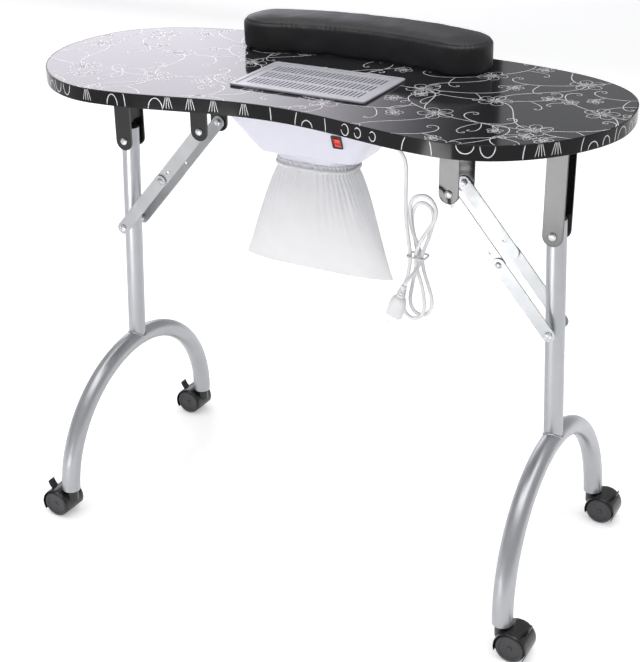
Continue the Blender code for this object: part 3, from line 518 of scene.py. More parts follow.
def ribbon_mesh(ribbons, lift):
    """Flat ribbons on a surface. Each is (points, width), and lift maps a flat point to its place and its normal."""
    vertices, faces = [], []
    for points, width in ribbons:
        ahead = np.gradient(points, axis=0)
        ahead /= np.linalg.norm(ahead, axis=1, keepdims=True) + 1e-12
        across = np.c_[-ahead[:, 1], ahead[:, 0]]
        share = np.linspace(0, 1, len(points))
        widths = width / 2 * (0.45 + 0.55 * np.minimum(1, 8 * np.minimum(share, 1 - share)))
        first = len(vertices)
        for point, side, half in zip(points, across, widths):
            vertices += [lift(point + side * half), lift(point - side * half)]
        for i in range(first, len(vertices) - 2, 2):
            faces.append((i, i + 1, i + 3, i + 2))
    mesh = bpy.data.meshes.new("ribbons")
    mesh.from_pydata(vertices, [], faces)
    work = bmesh.new()
    work.from_mesh(mesh)
    bpy.data.meshes.remove(mesh)
    return mesh_from(work)


def make_top_print():
    edge = inset(OUTLINE, 0.0006)
    hidden = rounded_rectangle(GRILLE_SIZE.x, GRILLE_SIZE.y, 0.004, GRILLE_CENTRE.xy)
    ribbons = []
    for points, width in vine_strokes():
        line = resampled(points, 0.0015)
        shown = inside(line, edge) & ~inside(line, hidden)
        breaks = np.flatnonzero(np.diff(shown.astype(int))) + 1
        for run in np.split(np.arange(len(line)), breaks):
            if shown[run[0]] and len(run) > 2:
                ribbons.append((line[run], width))
    height = TOP_Z + INK_HEIGHT
    mesh = ribbon_mesh(ribbons, lambda p: (p[0], p[1], height))
    work = bmesh.new()
    work.from_mesh(mesh)
    for face in work.faces:
        if face.normal.z < 0:
            face.normal_flip()
    work.to_mesh(mesh)
    work.free()
    piece("printed_vines", mesh, INK)


def make_rim_print():
    """Strokes that carry the print down over the rim: runners, arches, loops and petals."""
    rng = random.Random(8)
    loop = np.asarray(OUTLINE + OUTLINE[:1])
    marks = np.r_[0, np.cumsum(np.linalg.norm(np.diff(loop, axis=0), axis=1))]

    def lift(point):
        distance = point[0] % marks[-1]
        x, y = np.interp(distance, marks, loop[:, 0]), np.interp(distance, marks, loop[:, 1])
        ahead_x = np.interp((distance + 0.002) % marks[-1], marks, loop[:, 0]) - x
        ahead_y = np.interp((distance + 0.002) % marks[-1], marks, loop[:, 1]) - y
        size = math.hypot(ahead_x, ahead_y) or 1
        return x - ahead_y / size * INK_HEIGHT, y + ahead_x / size * INK_HEIGHT, UNDERSIDE_Z + point[1]

    low, high = 0.0012, TOP_THICKNESS - 0.0008
    ribbons = []
    distance = 0.0
    while distance < marks[-1]:
        kind = rng.choice(("line", "line", "slant", "slant", "arch", "cup", "arch", "loop", "petals"))
        lean = rng.uniform(-0.004, 0.004)
        if kind in ("line", "slant"):
            lean *= 1 if kind == "line" else 2
            points = [(distance + lean * (k / 8) ** 2, low + (high - low) * k / 8) for k in range(9)]
            ribbons.append((points, VINE_WIDTH))
        elif kind in ("arch", "cup"):
            half, tall = rng.uniform(0.006, 0.012), rng.uniform(0.009, 0.016)
            turns = [math.pi * k / 20 for k in range(21)]
            base, way = (low, 1) if kind == "arch" else (high, -1)
            points = [(distance - half * math.cos(a), base + way * tall * math.sin(a)) for a in turns]
            ribbons.append((points, VINE_WIDTH))
        elif kind == "loop":
            radius = rng.uniform(0.0045, 0.0065)
            middle = (low + high) / 2
            turns = [0.6 + 5.6 * k / 30 for k in range(31)]
            points = [
                (distance + radius * math.cos(a), middle + radius * 1.25 * math.sin(a)) for a in turns
            ]
            ribbons.append((points, VINE_WIDTH))
        else:
            for k in range(4):
                lean = (k - 1.5) * 0.0028
                points = [(distance + lean * (1.6 - j / 6), low + 0.002 + (high - low - 0.002) * j / 6) for j in range(7)]
                ribbons.append((points, PETAL_WIDTH))
        distance += rng.uniform(0.018, 0.046)
    ribbons = [(resampled(points, 0.001), width) for points, width in ribbons]
    mesh = ribbon_mesh(ribbons, lift)
    piece("printed_rim_strokes", mesh, INK)


# ---- Grille ----
SLOT_ROWS, SLOTS_PER_ROW = 3, 28
SLOT_WIDTH, SLOT_LENGTH = 0.0026, 0.026
SLOT_PITCH, ROW_PITCH = 0.0064, 0.034
FRAME_WIDTH = 0.0075


def make_grille():
    """A raised frame round a sunken plate with three rows of slots."""
    well = (GRILLE_SIZE.x - 2 * FRAME_WIDTH, GRILLE_SIZE.y - 2 * FRAME_WIDTH)
    rim = plate(
        [rounded_rectangle(GRILLE_SIZE.x, GRILLE_SIZE.y, 0.006), rounded_rectangle(*well, 0.003)],
        GRILLE_SIZE.z,
        0.0012,
        steps=2,
    )
    slots = []
    for row in range(SLOT_ROWS):
        for column in range(SLOTS_PER_ROW):
            x = (column - (SLOTS_PER_ROW - 1) / 2) * SLOT_PITCH
            y = (row - (SLOT_ROWS - 1) / 2) * ROW_PITCH
            slots.append(rounded_rectangle(SLOT_WIDTH, SLOT_LENGTH, SLOT_WIDTH * 0.48, (x, y), steps=3))
    deck = plate([rounded_rectangle(well[0] + 0.001, well[1] + 0.001, 0.003), *slots], 0.0016, 0.0002)
    low = Matrix.Translation((0, 0, -0.0002))
    place = Matrix.Translation(GRILLE_CENTRE)
    piece(
        "fan_grille", merged(rim, (deck, low)), GRILLE_PLASTIC, matrix=place, replaces=["grille_panel"], smooth=12
    )


# ---- Fan housing ----
HOUSING_LOW, HOUSING_HIGH = box_of("fan_housing")
COLLAR_LOW, COLLAR_HIGH = box_of("outlet_collar")
FAN_CENTRE = (HOUSING_LOW + HOUSING_HIGH) / 2
HOUSING_TOP, HOUSING_FLOOR = (0.244, 0.124), (0.160, 0.080)  # outer length and depth at the rim and the floor
HOUSING_SHOULDER_Z = 0.700
HOUSING_WALL = 0.002


def housing_section(length, depth, radius, z):
    return at_height(rounded_rectangle(length, depth, radius, FAN_CENTRE.xy, steps=5), z)


def make_housing():
    """A hopper with soft corners: a flange, short upright sides, then walls that slope in to the floor."""
    top_z, floor_z = HOUSING_HIGH.z, HOUSING_LOW.z
    flange = (HOUSING_HIGH.x - HOUSING_LOW.x, HOUSING_HIGH.y - HOUSING_LOW.y)
    levels = [
        (*flange, 0.010, top_z),
        (*flange, 0.010, top_z - HOUSING_WALL),
        (HOUSING_TOP[0] + 0.003, HOUSING_TOP[1] + 0.003, 0.014, top_z - HOUSING_WALL),
        (*HOUSING_TOP, 0.014, top_z - HOUSING_WALL - 0.0015),
        (*HOUSING_TOP, 0.014, HOUSING_SHOULDER_Z + 0.002),
    ]
    for share in (0.03, 0.5, 0.93, 0.97, 1.0):
        length = HOUSING_TOP[0] + (HOUSING_FLOOR[0] - HOUSING_TOP[0]) * share
        depth = HOUSING_TOP[1] + (HOUSING_FLOOR[1] - HOUSING_TOP[1]) * share
        shrink = 0.003 * max(0.0, (share - 0.93) / 0.07) ** 2
        z = HOUSING_SHOULDER_Z + (floor_z - HOUSING_SHOULDER_Z) * share
        levels.append((length - shrink, depth - shrink, 0.016, z))
    outer = [housing_section(*level) for level in levels]
    wall = 2 * HOUSING_WALL
    inner = [
        housing_section(HOUSING_FLOOR[0] - wall, HOUSING_FLOOR[1] - wall, 0.014, floor_z + HOUSING_WALL),
        housing_section(HOUSING_TOP[0] - wall, HOUSING_TOP[1] - wall, 0.012, HOUSING_SHOULDER_Z),
        housing_section(HOUSING_TOP[0] - wall, HOUSING_TOP[1] - wall, 0.012, top_z),
    ]
    shell = loft(outer + inner, cap_start=False, cap_end=False)
    work = bmesh.new()
    work.from_mesh(shell)
    rims = [edge for edge in work.edges if edge.is_boundary]
    bmesh.ops.bridge_loops(work, edges=rims)
    bmesh.ops.recalc_face_normals(work, faces=work.faces)
    piece("fan_hopper", mesh_from(work), WHITE_PLASTIC, replaces=["fan_housing"])


def make_collar():
    """The outlet spigot, with the outside of its lower edge rounded off."""
    half = (COLLAR_HIGH - COLLAR_LOW) / 2
    centre = ((COLLAR_HIGH + COLLAR_LOW) / 2).xy
    levels = (
        (0, COLLAR_HIGH.z),
        (0.0, COLLAR_LOW.z + 0.002),
        (0.0006, COLLAR_LOW.z + 0.0008),
        (0.0014, COLLAR_LOW.z),
    )
    outer = [at_height(superellipse(half.x - c, half.y - c, 3.2, 96, centre), z) for c, z in levels]
    inner = [
        at_height(superellipse(half.x - 0.002, half.y - 0.002, 3.2, 96, centre), z)
        for z in (COLLAR_LOW.z, COLLAR_HIGH.z)
    ]
    piece(
        "outlet_spigot",
        loft(outer + inner, closed=True),
        WHITE_PLASTIC,
        replaces=["outlet_collar"],
    )


# ---- Switch ----
def make_switch():
    slope = math.atan2((HOUSING_TOP[1] - HOUSING_FLOOR[1]) / 2, HOUSING_SHOULDER_Z - HOUSING_LOW.z)
    frame_turn = Matrix.Rotation(math.pi / 2 + slope, 4, "X")
    pivot = joint_pivot("switch_rock")
    size = (0.016, 0.021)
    opening = (0.0112, 0.0165)
    bezel = plate(
        [rounded_rectangle(*size, 0.0016), rounded_rectangle(*opening, 0.0006)], 0.0018, 0.0005, steps=2
    )
    place = Matrix.Translation(pivot) @ frame_turn
    seat = place @ Matrix.Translation((0, 0, GAP + 0.0009))
    piece("switch_frame", bezel, BLACK_PLASTIC, matrix=seat, replaces=["switch_bezel"])
    half = 0.00775
    profile = [(-half, -0.001), (-half, 0.0021)]
    profile += [(half * t, 0.0006 + 0.0015 * t * t) for t in (-0.8, -0.5, -0.2, 0, 0.2, 0.5, 0.8)]
    profile += [(half, 0.0021), (half, -0.001), (0.004, -0.004), (-0.004, -0.004)]
    sideways = Matrix.Rotation(math.pi / 2, 4, "Y") @ Matrix.Rotation(math.pi / 2, 4, "Z")
    rocker = plate([profile], 0.0106, 0.0003)
    ridges = [
        (plate([rounded_rectangle(0.0072, 0.0006, 0.0002)], 0.0004), Matrix.Translation((0, y, 0.0017)))
        for y in (-0.0052, -0.0040, -0.0028)
    ]
    tilt = place @ Matrix.Rotation(math.radians(8), 4, "X")
    body = merged((rocker, sideways), *ridges)
    piece("switch_key", body, RED_PLASTIC, "rocker", matrix=tilt, replaces=["switch_rocker"])


# ---- Wrist cushion ----
CUSHION_HIGH = box_of("wrist_cushion")[1]
CUSHION_HALF_LENGTH, CUSHION_HALF_DEPTH = 0.203, 0.049
CUSHION_VOXEL, CUSHION_SWELL = 0.0045, 0.0016
CUSHION_CENTRE, CUSHION_BEND = 0.141, 0.97
SEAM_DROP = 0.0085  # the seam between the top panel and the side wall lies this far below the crown
SEAM_INSET = 0.0035


def cushion_spine(x):
    middle = Vector((x, CUSHION_CENTRE - CUSHION_BEND * x * x))
    return middle, Vector((1, -2 * CUSHION_BEND * x)).normalized()


def cushion_outline(margin, count=40):
    """A bean: a round-ended strip whose middle line bends towards the near side."""
    half = CUSHION_HALF_DEPTH - margin
    reach = CUSHION_HALF_LENGTH - CUSHION_HALF_DEPTH
    far, near, ends = [], [], []
    for i in range(count + 1):
        middle, along = cushion_spine(reach * (2 * i / count - 1))
        normal = Vector((-along.y, along.x))
        far.append(tuple(middle + half * normal))
        near.append(tuple(middle - half * normal))
    for x, turn in ((reach, 1), (-reach, -1)):
        middle, along = cushion_spine(x)
        normal = Vector((-along.y, along.x))
        turns = [math.pi * k / 24 for k in range(1, 24)]
        ends.append(
            [tuple(middle + half * turn * (math.cos(a) * normal + math.sin(a) * along)) for a in turns]
        )
    return far + ends[0] + near[::-1] + ends[1]


def cushion_blank():
    """The cushion before it is filled: upright sides, a tucked-in bottom edge and a slightly crowned top."""
    low, high = TOP_Z + 0.0004, CUSHION_HIGH.z
    levels = [(0.0060, low), (0.0022, low + 0.0015), (0.0012, low + 0.006), (0.0008, high - 0.020)]
    levels += [(0.0012, high - 0.0125), (0.0032, high - 0.0090)]
    levels += [
        (0.0090, high - 0.0060), (0.0180, high - 0.0035), (0.0300, high - 0.0018), (0.0440, high - 0.0012)
    ]
    return loft([at_height(cushion_outline(margin), z) for margin, z in levels])


def apply_modifiers(obj):
    graph = bpy.context.evaluated_depsgraph_get()
    mesh = bpy.data.meshes.new_from_object(obj.evaluated_get(graph))
    obj.modifiers.clear()
    obj.data = mesh
    return mesh


def remeshed(obj):
    """Rebuilds the cushion's mesh on an even grid, which the cloth needs."""
    remesh = obj.modifiers.new("voxels", "REMESH")
    remesh.mode = "VOXEL"
    remesh.voxel_size = CUSHION_VOXEL
    return apply_modifiers(obj)


def inflate(obj, most, pressure=4.0, frames=20):
    """Fills the cushion by a cloth simulation, and caps how far each point may move."""
    before = remeshed(obj)
    rest = np.empty(len(before.vertices) * 3)
    before.vertices.foreach_get("co", rest)
    cloth = obj.modifiers.new("cloth", "CLOTH")
    cloth.settings.use_pressure = True
    cloth.settings.uniform_pressure_force = pressure
    cloth.settings.effector_weights.gravity = 0
    for number in range(1, frames + 1):
        scene.frame_set(number)
    mesh = apply_modifiers(obj)
    scene.frame_set(1)
    filled = np.empty(len(mesh.vertices) * 3)
    mesh.vertices.foreach_get("co", filled)
    moved = (filled - rest).reshape(-1, 3)
    lengths = np.linalg.norm(moved, axis=1, keepdims=True)
    moved *= np.minimum(1, most / np.maximum(lengths, 1e-9))
    mesh.vertices.foreach_set("co", (rest.reshape(-1, 3) + moved).ravel())
    mesh.update()


def seam_loop():
    outline = cushion_outline(SEAM_INSET, 80)
    return [Vector((x, y, CUSHION_HIGH.z - SEAM_DROP)) for x, y in outline]


def sew(mesh):
    """Presses the seam in, puckers the cover along it and adds the slack of a hand-fitted cover."""
    loop = seam_loop()
    closed = loop + loop[:1]
    marks = [0.0]
    tree_points = []
    for a, b in zip(closed, closed[1:]):
        for k in range(4):
            tree_points.append((a.lerp(b, k / 4), marks[-1] + (b - a).length * k / 4))
        marks.append(marks[-1] + (b - a).length)
    tree = kdtree.KDTree(len(tree_points))
    for i, (point, _) in enumerate(tree_points):
        tree.insert(point, i)
    tree.balance()
    count = len(mesh.vertices)
    places, normals = np.empty(count * 3), np.empty(count * 3)
    mesh.vertices.foreach_get("co", places)
    mesh.vertices.foreach_get("normal", normals)
    places, normals = places.reshape(-1, 3), normals.reshape(-1, 3)
    distances, alongs, slack = np.empty(count), np.empty(count), np.empty(count)
    for i, place in enumerate(places):
        _, index, distances[i] = tree.find(place)
        alongs[i] = tree_points[index][1]
        spot = Vector(place)
        slack[i] = 0.0007 * noise.noise(spot * 22) + 0.0003 * noise.noise(spot * 70)
    groove = -0.0011 * np.exp(-((distances / 0.0017) ** 2)) + 0.0004 * np.exp(
        -(((distances - 0.0045) / 0.0025) ** 2)
    )
    gathers = np.clip(0.35 + np.sin(alongs * 31) * np.sin(alongs * 57 + 1), 0, None)
    pucker = 0.00035 * gathers * np.sin(alongs * 820) * np.exp(-((distances / 0.006) ** 2))
    side_seam = np.where(normals[:, 1] < -0.6, -0.0007 * np.exp(-((places[:, 0] / 0.0016) ** 2)), 0)
    places += normals * (groove + pucker + slack + side_seam)[:, None]
    places[:, 2] = np.maximum(places[:, 2], TOP_Z + 0.0002)
    mesh.vertices.foreach_set("co", places.ravel())
    mesh.update()


def make_cushion():
    obj = bpy.data.objects.new("padded_wrist_rest", cushion_blank())
    scene.collection.objects.link(obj)
    inflate(obj, CUSHION_SWELL)
    subdivision = obj.modifiers.new("smooth", "SUBSURF")
    subdivision.levels = subdivision.render_levels = 2
    mesh = apply_modifiers(obj)
    sew(mesh)
    mesh.materials.clear()
    mesh.materials.append(LEATHERETTE)
    mesh.shade_smooth()
    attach(obj, "root")
    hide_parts("wrist_cushion")


# ---- Dust bag ----
BAG_LOW, BAG_HIGH = box_of("dust_bag")
BAG_PLEATS = 46


def bag_section(share):
    """Half length, half depth and middle x, share running from 0 at the neck to 1 at the bottom seam."""
    half = (COLLAR_HIGH - COLLAR_LOW) / 2
    neck = half.x + 0.0016, half.y + 0.0016
    ease = min(1.0, max(0.0, (share - 0.09) / 0.91))
    length = neck[0] + ((BAG_HIGH.x - BAG_LOW.x) / 2 - 0.0005 - neck[0]) * ease**0.86
    belly = math.sin(math.pi * min(1.0, ease * 1.05)) * 0.005
    depth = neck[1] + belly - (neck[1] - 0.0016) * ease**2.4
    return length, depth, FAN_CENTRE.x - 0.0025 * ease


def make_bag():
    """Thin cloth gathered by elastic at the neck, hanging in soft folds to a flat sewn hem."""
    rng = random.Random(4)
    waves = [(rng.choice((9, 13, 17, 22)), rng.uniform(0, 6.28), rng.uniform(0.5, 1.0)) for _ in range(6)]
    around, down = 420, 90
    rings = []
    for row in range(down + 1):
        share = row / down
        length, depth, middle = bag_section(share)
        z = BAG_HIGH.z + (BAG_LOW.z - BAG_HIGH.z) * share
        power = 3 - share
        gather = 0.0010 * math.exp(-(((share - 0.05) / 0.30) ** 2)) + 0.00035 * (1 - share)
        fold = 0.0024 * math.sin(math.pi * min(1, share * 1.02)) ** 0.8 * (1 - 0.45 * share)
        ring = []
        for i in range(around):
            a = 2 * math.pi * i / around
            c, s = math.cos(a), math.sin(a)
            x = math.copysign(abs(c) ** (2 / power), c) * length
            y = math.copysign(abs(s) ** (2 / power), s) * depth
            normal = Vector((c / length, s / depth)).normalized()
            pleat = gather * math.sin(BAG_PLEATS * a + 0.9 * math.sin(5 * a) + 1.1 * share)
            drape = fold * sum(w * math.sin(n * a + p + 0.8 * share) for n, p, w in waves) / len(waves) * 2
            drape += 0.0012 * share * noise.noise(Vector((c * 3, s * 3, share * 4)))
            flat = 1 - max(0.0, (share - 0.90) / 0.10) ** 0.5
            out = (pleat + drape) * (0.15 + 0.85 * flat) * (0.4 + 0.6 * abs(s))
            edge_lift = 0.006 * share**3 * (abs(x) / length) ** 4
            ring.append((middle + x + normal.x * out, FAN_CENTRE.y + y + normal.y * out, z + edge_lift))
        rings.append(ring)
    mesh = loft(rings, cap_start=False, cap_end=True)
    bag = piece("gathered_dust_bag", mesh, NONWOVEN, replaces=["dust_bag"], smooth=80)
    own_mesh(bag)


def make_bag_elastic():
    """A ruched casing over the elastic at the bag's neck."""
    low, high = box_of("bag_elastic")
    half = (high - low) / 2
    centre = (low + high) / 2
    around = 480
    rings = []
    for height, swell in ((-1, 0.2), (-0.6, 0.85), (0, 1.0), (0.6, 0.85), (1, 0.2)):
        ring = []
        for i in range(around):
            a = 2 * math.pi * i / around
            c, s = math.cos(a), math.sin(a)
            ruche = 0.00045 * math.sin(92 * a + 2 * math.sin(7 * a)) - 0.0007
            x = math.copysign(abs(c) ** (2 / 3), c) * (half.x + ruche - 0.0014 * (1 - swell))
            y = math.copysign(abs(s) ** (2 / 3), s) * (half.y + ruche - 0.0014 * (1 - swell))
            ring.append((centre.x + x, centre.y + y, centre.z + height * half.z * 0.9))
        rings.append(ring)
    inner = [
        at_height(
            superellipse(half.x - 0.0022, half.y - 0.0022, 3, around, centre.xy),
            centre.z + height * half.z * 0.8,
        )
        for height in (1, -1)
    ]
    piece(
        "bag_elastic_casing", loft(
            rings + inner, closed=True
        ), NONWOVEN, replaces=["bag_elastic"], smooth=80
    )


# ---- Power cord ----
CORD_WIDTH, CORD_THICKNESS = 0.0058, 0.0042
CORD_PLANE = -0.050
TIE_X, TIE_Z = 0.170, 0.511
PLUG_TAIL, PLUG_FACE = Vector((0.1620, -0.0760, 0.4760)), Vector((0.1460, -0.0760, 0.4260))
RELIEF_START, CORD_EXIT = Vector((0.1170, CORD_PLANE, 0.6800)), Vector((0.1340, CORD_PLANE, 0.6677))
LEAD_IN = [
    tuple(CORD_EXIT),
    (0.1405, CORD_PLANE, 0.6622),
    (0.1463, CORD_PLANE, 0.6540),
    (0.1492, CORD_PLANE, 0.6440),
    (0.1500, CORD_PLANE, 0.6320),
    (0.1500, CORD_PLANE, 0.6200),
    (0.1498, CORD_PLANE, 0.6095),
]
# The hank from the lead-in to the plug: (x from the tie, y from the hank's plane, height above the tie).
HANK = [
    (-0.02, -0.0005, 0.08), (-0.0175, -0.002, 0.05), (-0.0125, -0.004, 0.022), (-0.0095, -0.005, 0.0),
    (-0.012, -0.005, -0.025), (-0.019, -0.004, -0.05), (-0.0215, -0.003, -0.072),
    (-0.016, -0.002, -0.0895), (-0.004, -0.002, -0.0955), (0.008, -0.002, -0.089),
    (0.013, -0.0025, -0.073), (0.01, -0.004, -0.045), (0.003, -0.0052, -0.02), (-0.001, -0.0055, 0.0),
    (0.004, -0.005, 0.022), (0.016, -0.003, 0.044), (0.026, -0.002, 0.062), (0.0262, -0.0015, 0.078),
    (0.017, -0.001, 0.0905), (0.005, -0.001, 0.093), (-0.008, 0.0, 0.0865), (-0.014, 0.001, 0.07),
    (-0.011, 0.0025, 0.04), (-0.002, 0.003, 0.018), (0.0045, 0.003, 0.0), (0.009, 0.003, -0.022),
    (0.017, 0.003, -0.045), (0.0218, 0.003, -0.062), (0.021, 0.0032, -0.077), (0.013, 0.0034, -0.088),
    (0.0015, 0.0036, -0.09), (-0.009, 0.0045, -0.0835), (-0.013, 0.0055, -0.069),
    (-0.01, 0.0065, -0.045), (-0.0055, 0.0068, -0.02), (-0.0035, 0.0068, 0.0), (-0.007, 0.0064, 0.02),
    (-0.0115, 0.0055, 0.042), (-0.0118, 0.0048, 0.06), (-0.006, 0.0045, 0.075), (0.005, 0.0042, 0.0805),
    (0.0165, 0.004, 0.075), (0.0215, 0.003, 0.06), (0.018, 0.0005, 0.038), (0.012, -0.003, 0.018),
    (0.0085, -0.0075, 0.002), (0.0065, -0.0125, -0.009), (0.003, -0.018, -0.0165),
    (-0.0015, -0.0225, -0.0235), (-0.0055, -0.0252, -0.0295), (-0.008, -0.026, -0.035),
]


def along(start, end):
    """Turns local +Z to run from start to end, with start as the origin."""
    turn = (Vector(end) - Vector(start)).to_track_quat("Z", "X").to_matrix().to_4x4()
    return Matrix.Translation(start) @ turn


def cord_section():
    """Two cores side by side in one flat jacket, with a groove between them."""
    points = []
    for i in range(16):
        a = 2 * math.pi * i / 16
        pinch = 1 - 0.24 * math.exp(-((math.cos(a) / 0.32) ** 2))
        points.append((math.cos(a) * CORD_WIDTH / 2, math.sin(a) * CORD_THICKNESS / 2 * pinch))
    return points


def make_cord():
    route = LEAD_IN + [(TIE_X + x, CORD_PLANE + y, TIE_Z + z) for x, y, z in HANK]
    path = smooth_path(route, 0.0016)
    length = sum((b - a).length for a, b in zip(path, path[1:]))
    mesh = sweep(path, cord_section(), start_normal=(0, -1, 0))
    cord = piece(
        "flat_power_cord",
        mesh,
        VINYL,
        replaces=["power_cord", "power_cord_tail", "cord_hank"],
        smooth=60,
    )
    tie_ring = plate(
        [rounded_rectangle(0.0300, 0.0226, 0.006), rounded_rectangle(0.0266, 0.0192, 0.005)], 0.003, 0.0008
    )
    tie = piece(
        "cord_band",
        tie_ring,
        TIE,
        matrix=Matrix.Translation((TIE_X, CORD_PLANE, TIE_Z + 0.002)),
    )
    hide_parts("cord_tie")

    relief_length = (CORD_EXIT - RELIEF_START).length - GAP
    profile = [(0, relief_length), (CORD_WIDTH / 2 + 0.0006, relief_length)]
    for i in range(5):
        z = relief_length - 0.0018 - 0.0031 * i
        radius = 0.0037 + 0.00030 * i
        profile += [
            (radius, z),
            (radius + 0.0001, z - 0.0016),
            (radius - 0.0008, z - 0.0018),
            (radius - 0.0006, z - 0.0029),
        ]
    profile += [(0.0066, 0.0036), (0.0072, 0.0030), (0.0072, 0), (0, 0)]
    relief = piece(
        "ribbed_strain_relief",
        turned(profile, 32),
        WHITE_PLASTIC,
        matrix=along(RELIEF_START, CORD_EXIT),
    )
    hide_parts("strain_relief")

    grip = (PLUG_FACE - PLUG_TAIL).length
    frame_of_plug = along(PLUG_TAIL, PLUG_FACE)
    levels = [(GAP, 0.0036, 0.0034)]
    for i in range(4):
        z = 0.0030 + 0.0040 * i
        half = 0.0046 + 0.0006 * i
        levels += [
            (z, half, half * 0.9),
            (z + 0.0022, half + 0.0001, half * 0.9),
            (z + 0.0025, half - 0.0009, half * 0.78),
        ]
        levels += [(z + 0.0038, half - 0.0007, half * 0.78)]
    levels += [(0.0200, 0.0076, 0.0064), (0.0240, 0.0106, 0.0074), (0.0290, 0.0121, 0.0079)]
    levels += [(grip - 0.0015, 0.0125, 0.0080), (grip - 0.0004, 0.0122, 0.0077), (grip, 0.0116, 0.0071)]
    rings = [at_height(superellipse(a, b, 2.8, 40), z) for z, a, b in levels]
    body = piece(
        "plug_grip", loft(rings), VINYL, matrix=frame_of_plug, replaces=["plug"], smooth=40
    )
    for node, side, width in (("plug_blade_wide", -1, 0.0079), ("plug_blade_narrow", 1, 0.0063)):
        outline = rounded_rectangle(width, 0.0165, 0.0012)
        blade = plate([outline, circle(0.0012, 14, (0, -0.0050))], 0.0015, 0.0003)
        edge_on = Matrix.Rotation(math.pi / 2, 4, "Y") @ Matrix.Rotation(math.pi / 2, 4, "Z")
        seat = Matrix.Translation((side * 0.0127 / 2, 0, grip + GAP + 0.00825)) @ edge_on
        upright = Matrix.Rotation(math.pi, 4, "X")
        piece(
                f"{node}_bar",
                blade,
                BRIGHT_STEEL,
                matrix=frame_of_plug @ seat @ upright,
                replaces=[node],
            )
    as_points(smooth_path(route, 0.005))


# ---- Brackets on the underside ----
HINGE_X = 0.355
HINGE_Z = {"left": joint_pivot("left_leg_fold").z, "right": joint_pivot("right_leg_fold").z}
SPLAY = math.radians(2.75)
BRACKET_WIDTH, BRACKET_PLATE = 0.030, 0.0025
HINGE_CHEEK_OUTER, BRACE_CHEEK_OUTER = 0.0180, 0.0292
BRACE_X, BRACE_RISE, BRACE_DOWN_POST = 0.150, 0.040, 0.1436
LINK_HALF_WIDTH, LINK_THICKNESS = 0.010, 0.002
UPPER_LINK_Y = BRACE_CHEEK_OUTER - BRACKET_PLATE - GAP - LINK_THICKNESS / 2
LOWER_LINK_Y = UPPER_LINK_Y + LINK_THICKNESS + GAP


def make_bracket(name, x, bolt_z, cheek_outer):
    """A folded strip: two round-ended cheeks under a top plate, with a soft bend where they meet."""
    top = UNDERSIDE_Z - GAP
    radius = BRACKET_WIDTH / 2
    drop = top - bolt_z
    bend = 0.004
    arc = [(radius * math.cos(math.radians(a)), radius * math.sin(math.radians(a))) for a in range(180, 361, 10)]
    cheek = plate(
        [[(-radius, drop - bend), *arc, (radius, drop - bend)], circle(0.0033, 20)],
        BRACKET_PLATE,
        0.0005,
        2,
    )
    parts = [
        (
            cheek, Matrix.Translation((0, side * (cheek_outer - BRACKET_PLATE / 2), 0)) @ ALONG_Y
        ) for side in (-1, 1)
    ]
    section = []
    for reach, inner in ((cheek_outer, False), (cheek_outer - BRACKET_PLATE, True)):
        corner = bend - (BRACKET_PLATE if inner else 0)
        height = drop - (BRACKET_PLATE if inner else 0)
        curve = [(-reach, drop - bend - 0.0005)]
        for k in range(7):
            a = math.pi - math.pi / 2 * k / 6
            curve.append((-reach + corner + corner * math.cos(a), height - corner + corner * math.sin(a)))
        curve += [(-y, z) for y, z in reversed(curve)]
        section += curve if not inner else curve[::-1]
    bent = loft([[(side * radius, y, z) for y, z in section] for side in (-1, 1)])
    mesh = merged(*parts, bent)
    return piece(
        f"{name}_strip",
        mesh,
        BLACK_STEEL,
        matrix=Matrix.Translation((x, 0, bolt_z)),
        replaces=[name],
        smooth=12,
    )


def cut(mesh, *cutters):
    """The mesh with each cutter's shape taken away."""
    block = bpy.data.objects.new("block", mesh)
    scene.collection.objects.link(block)
    for cutter_mesh in cutters:
        tool = bpy.data.objects.new("tool", cutter_mesh)
        scene.collection.objects.link(tool)
        modifier = block.modifiers.new("cut", "BOOLEAN")
        modifier.solver = "EXACT"
        modifier.object = tool
        result = apply_modifiers(block)
        bpy.data.objects.remove(tool)
    bpy.data.objects.remove(block)
    return result


def bar(size, centre=(0, 0, 0)):
    """A rectangular bar as a plate with the smallest of soft edges."""
    mesh = plate(
        [rounded_rectangle(size[0], size[1], min(size[:2]) * 0.2, steps=3)], size[2], min(size) * 0.1
    )
    mesh.transform(Matrix.Translation(centre))
    return mesh


def screw_head():
    """A domed head with a cross recess. It sits on z = 0."""
    dome = [
        (0, 0.0031),
        (0.0022, 0.0030),
        (0.0040, 0.0025),
        (0.0052, 0.0017),
        (0.0059, 0.0007),
        (0.0059, 0),
        (0, 0),
    ]
    recess = [bar((0.0058, 0.0013, 0.0036), (0, 0, 0.0030)), bar((0.0013, 0.0058, 0.0036), (0, 0, 0.0030))]
    return cut(turned(dome, 28), *recess)


HEAD = screw_head()


def hexagon(radius):
    return [(radius * math.cos(math.pi * k / 3), radius * math.sin(math.pi * k / 3)) for k in range(6)]


def make_bolt(node, body, matrix, head_outer, sections, end):
    """A bolt laid along Y with its head towards -Y. Sections are (radius, y where it starts), as nuts and sleeves."""
    parts = [(HEAD, Matrix.Translation((0, 0, sections[0][1])))]
    for i, (radius, start) in enumerate(sections):
        stop = sections[i + 1][1] if i + 1 < len(sections) else end
        middle, thickness = (start + stop) / 2, start - stop
        last = i + 1 == len(sections)
        outline = hexagon(radius) if last else circle(radius, 20)
        parts.append((plate([outline], thickness, 0.0004 if radius > 0.004 else 0.0), Matrix.Translation((0, 0, middle))))
    parts.append((plate([circle(0.003, 20)], 0.0012, 0.0004), Matrix.Translation((0, 0, end + 0.0004))))
    return piece(f"{node}_set", merged(*parts), ZINC, body, matrix, [node])


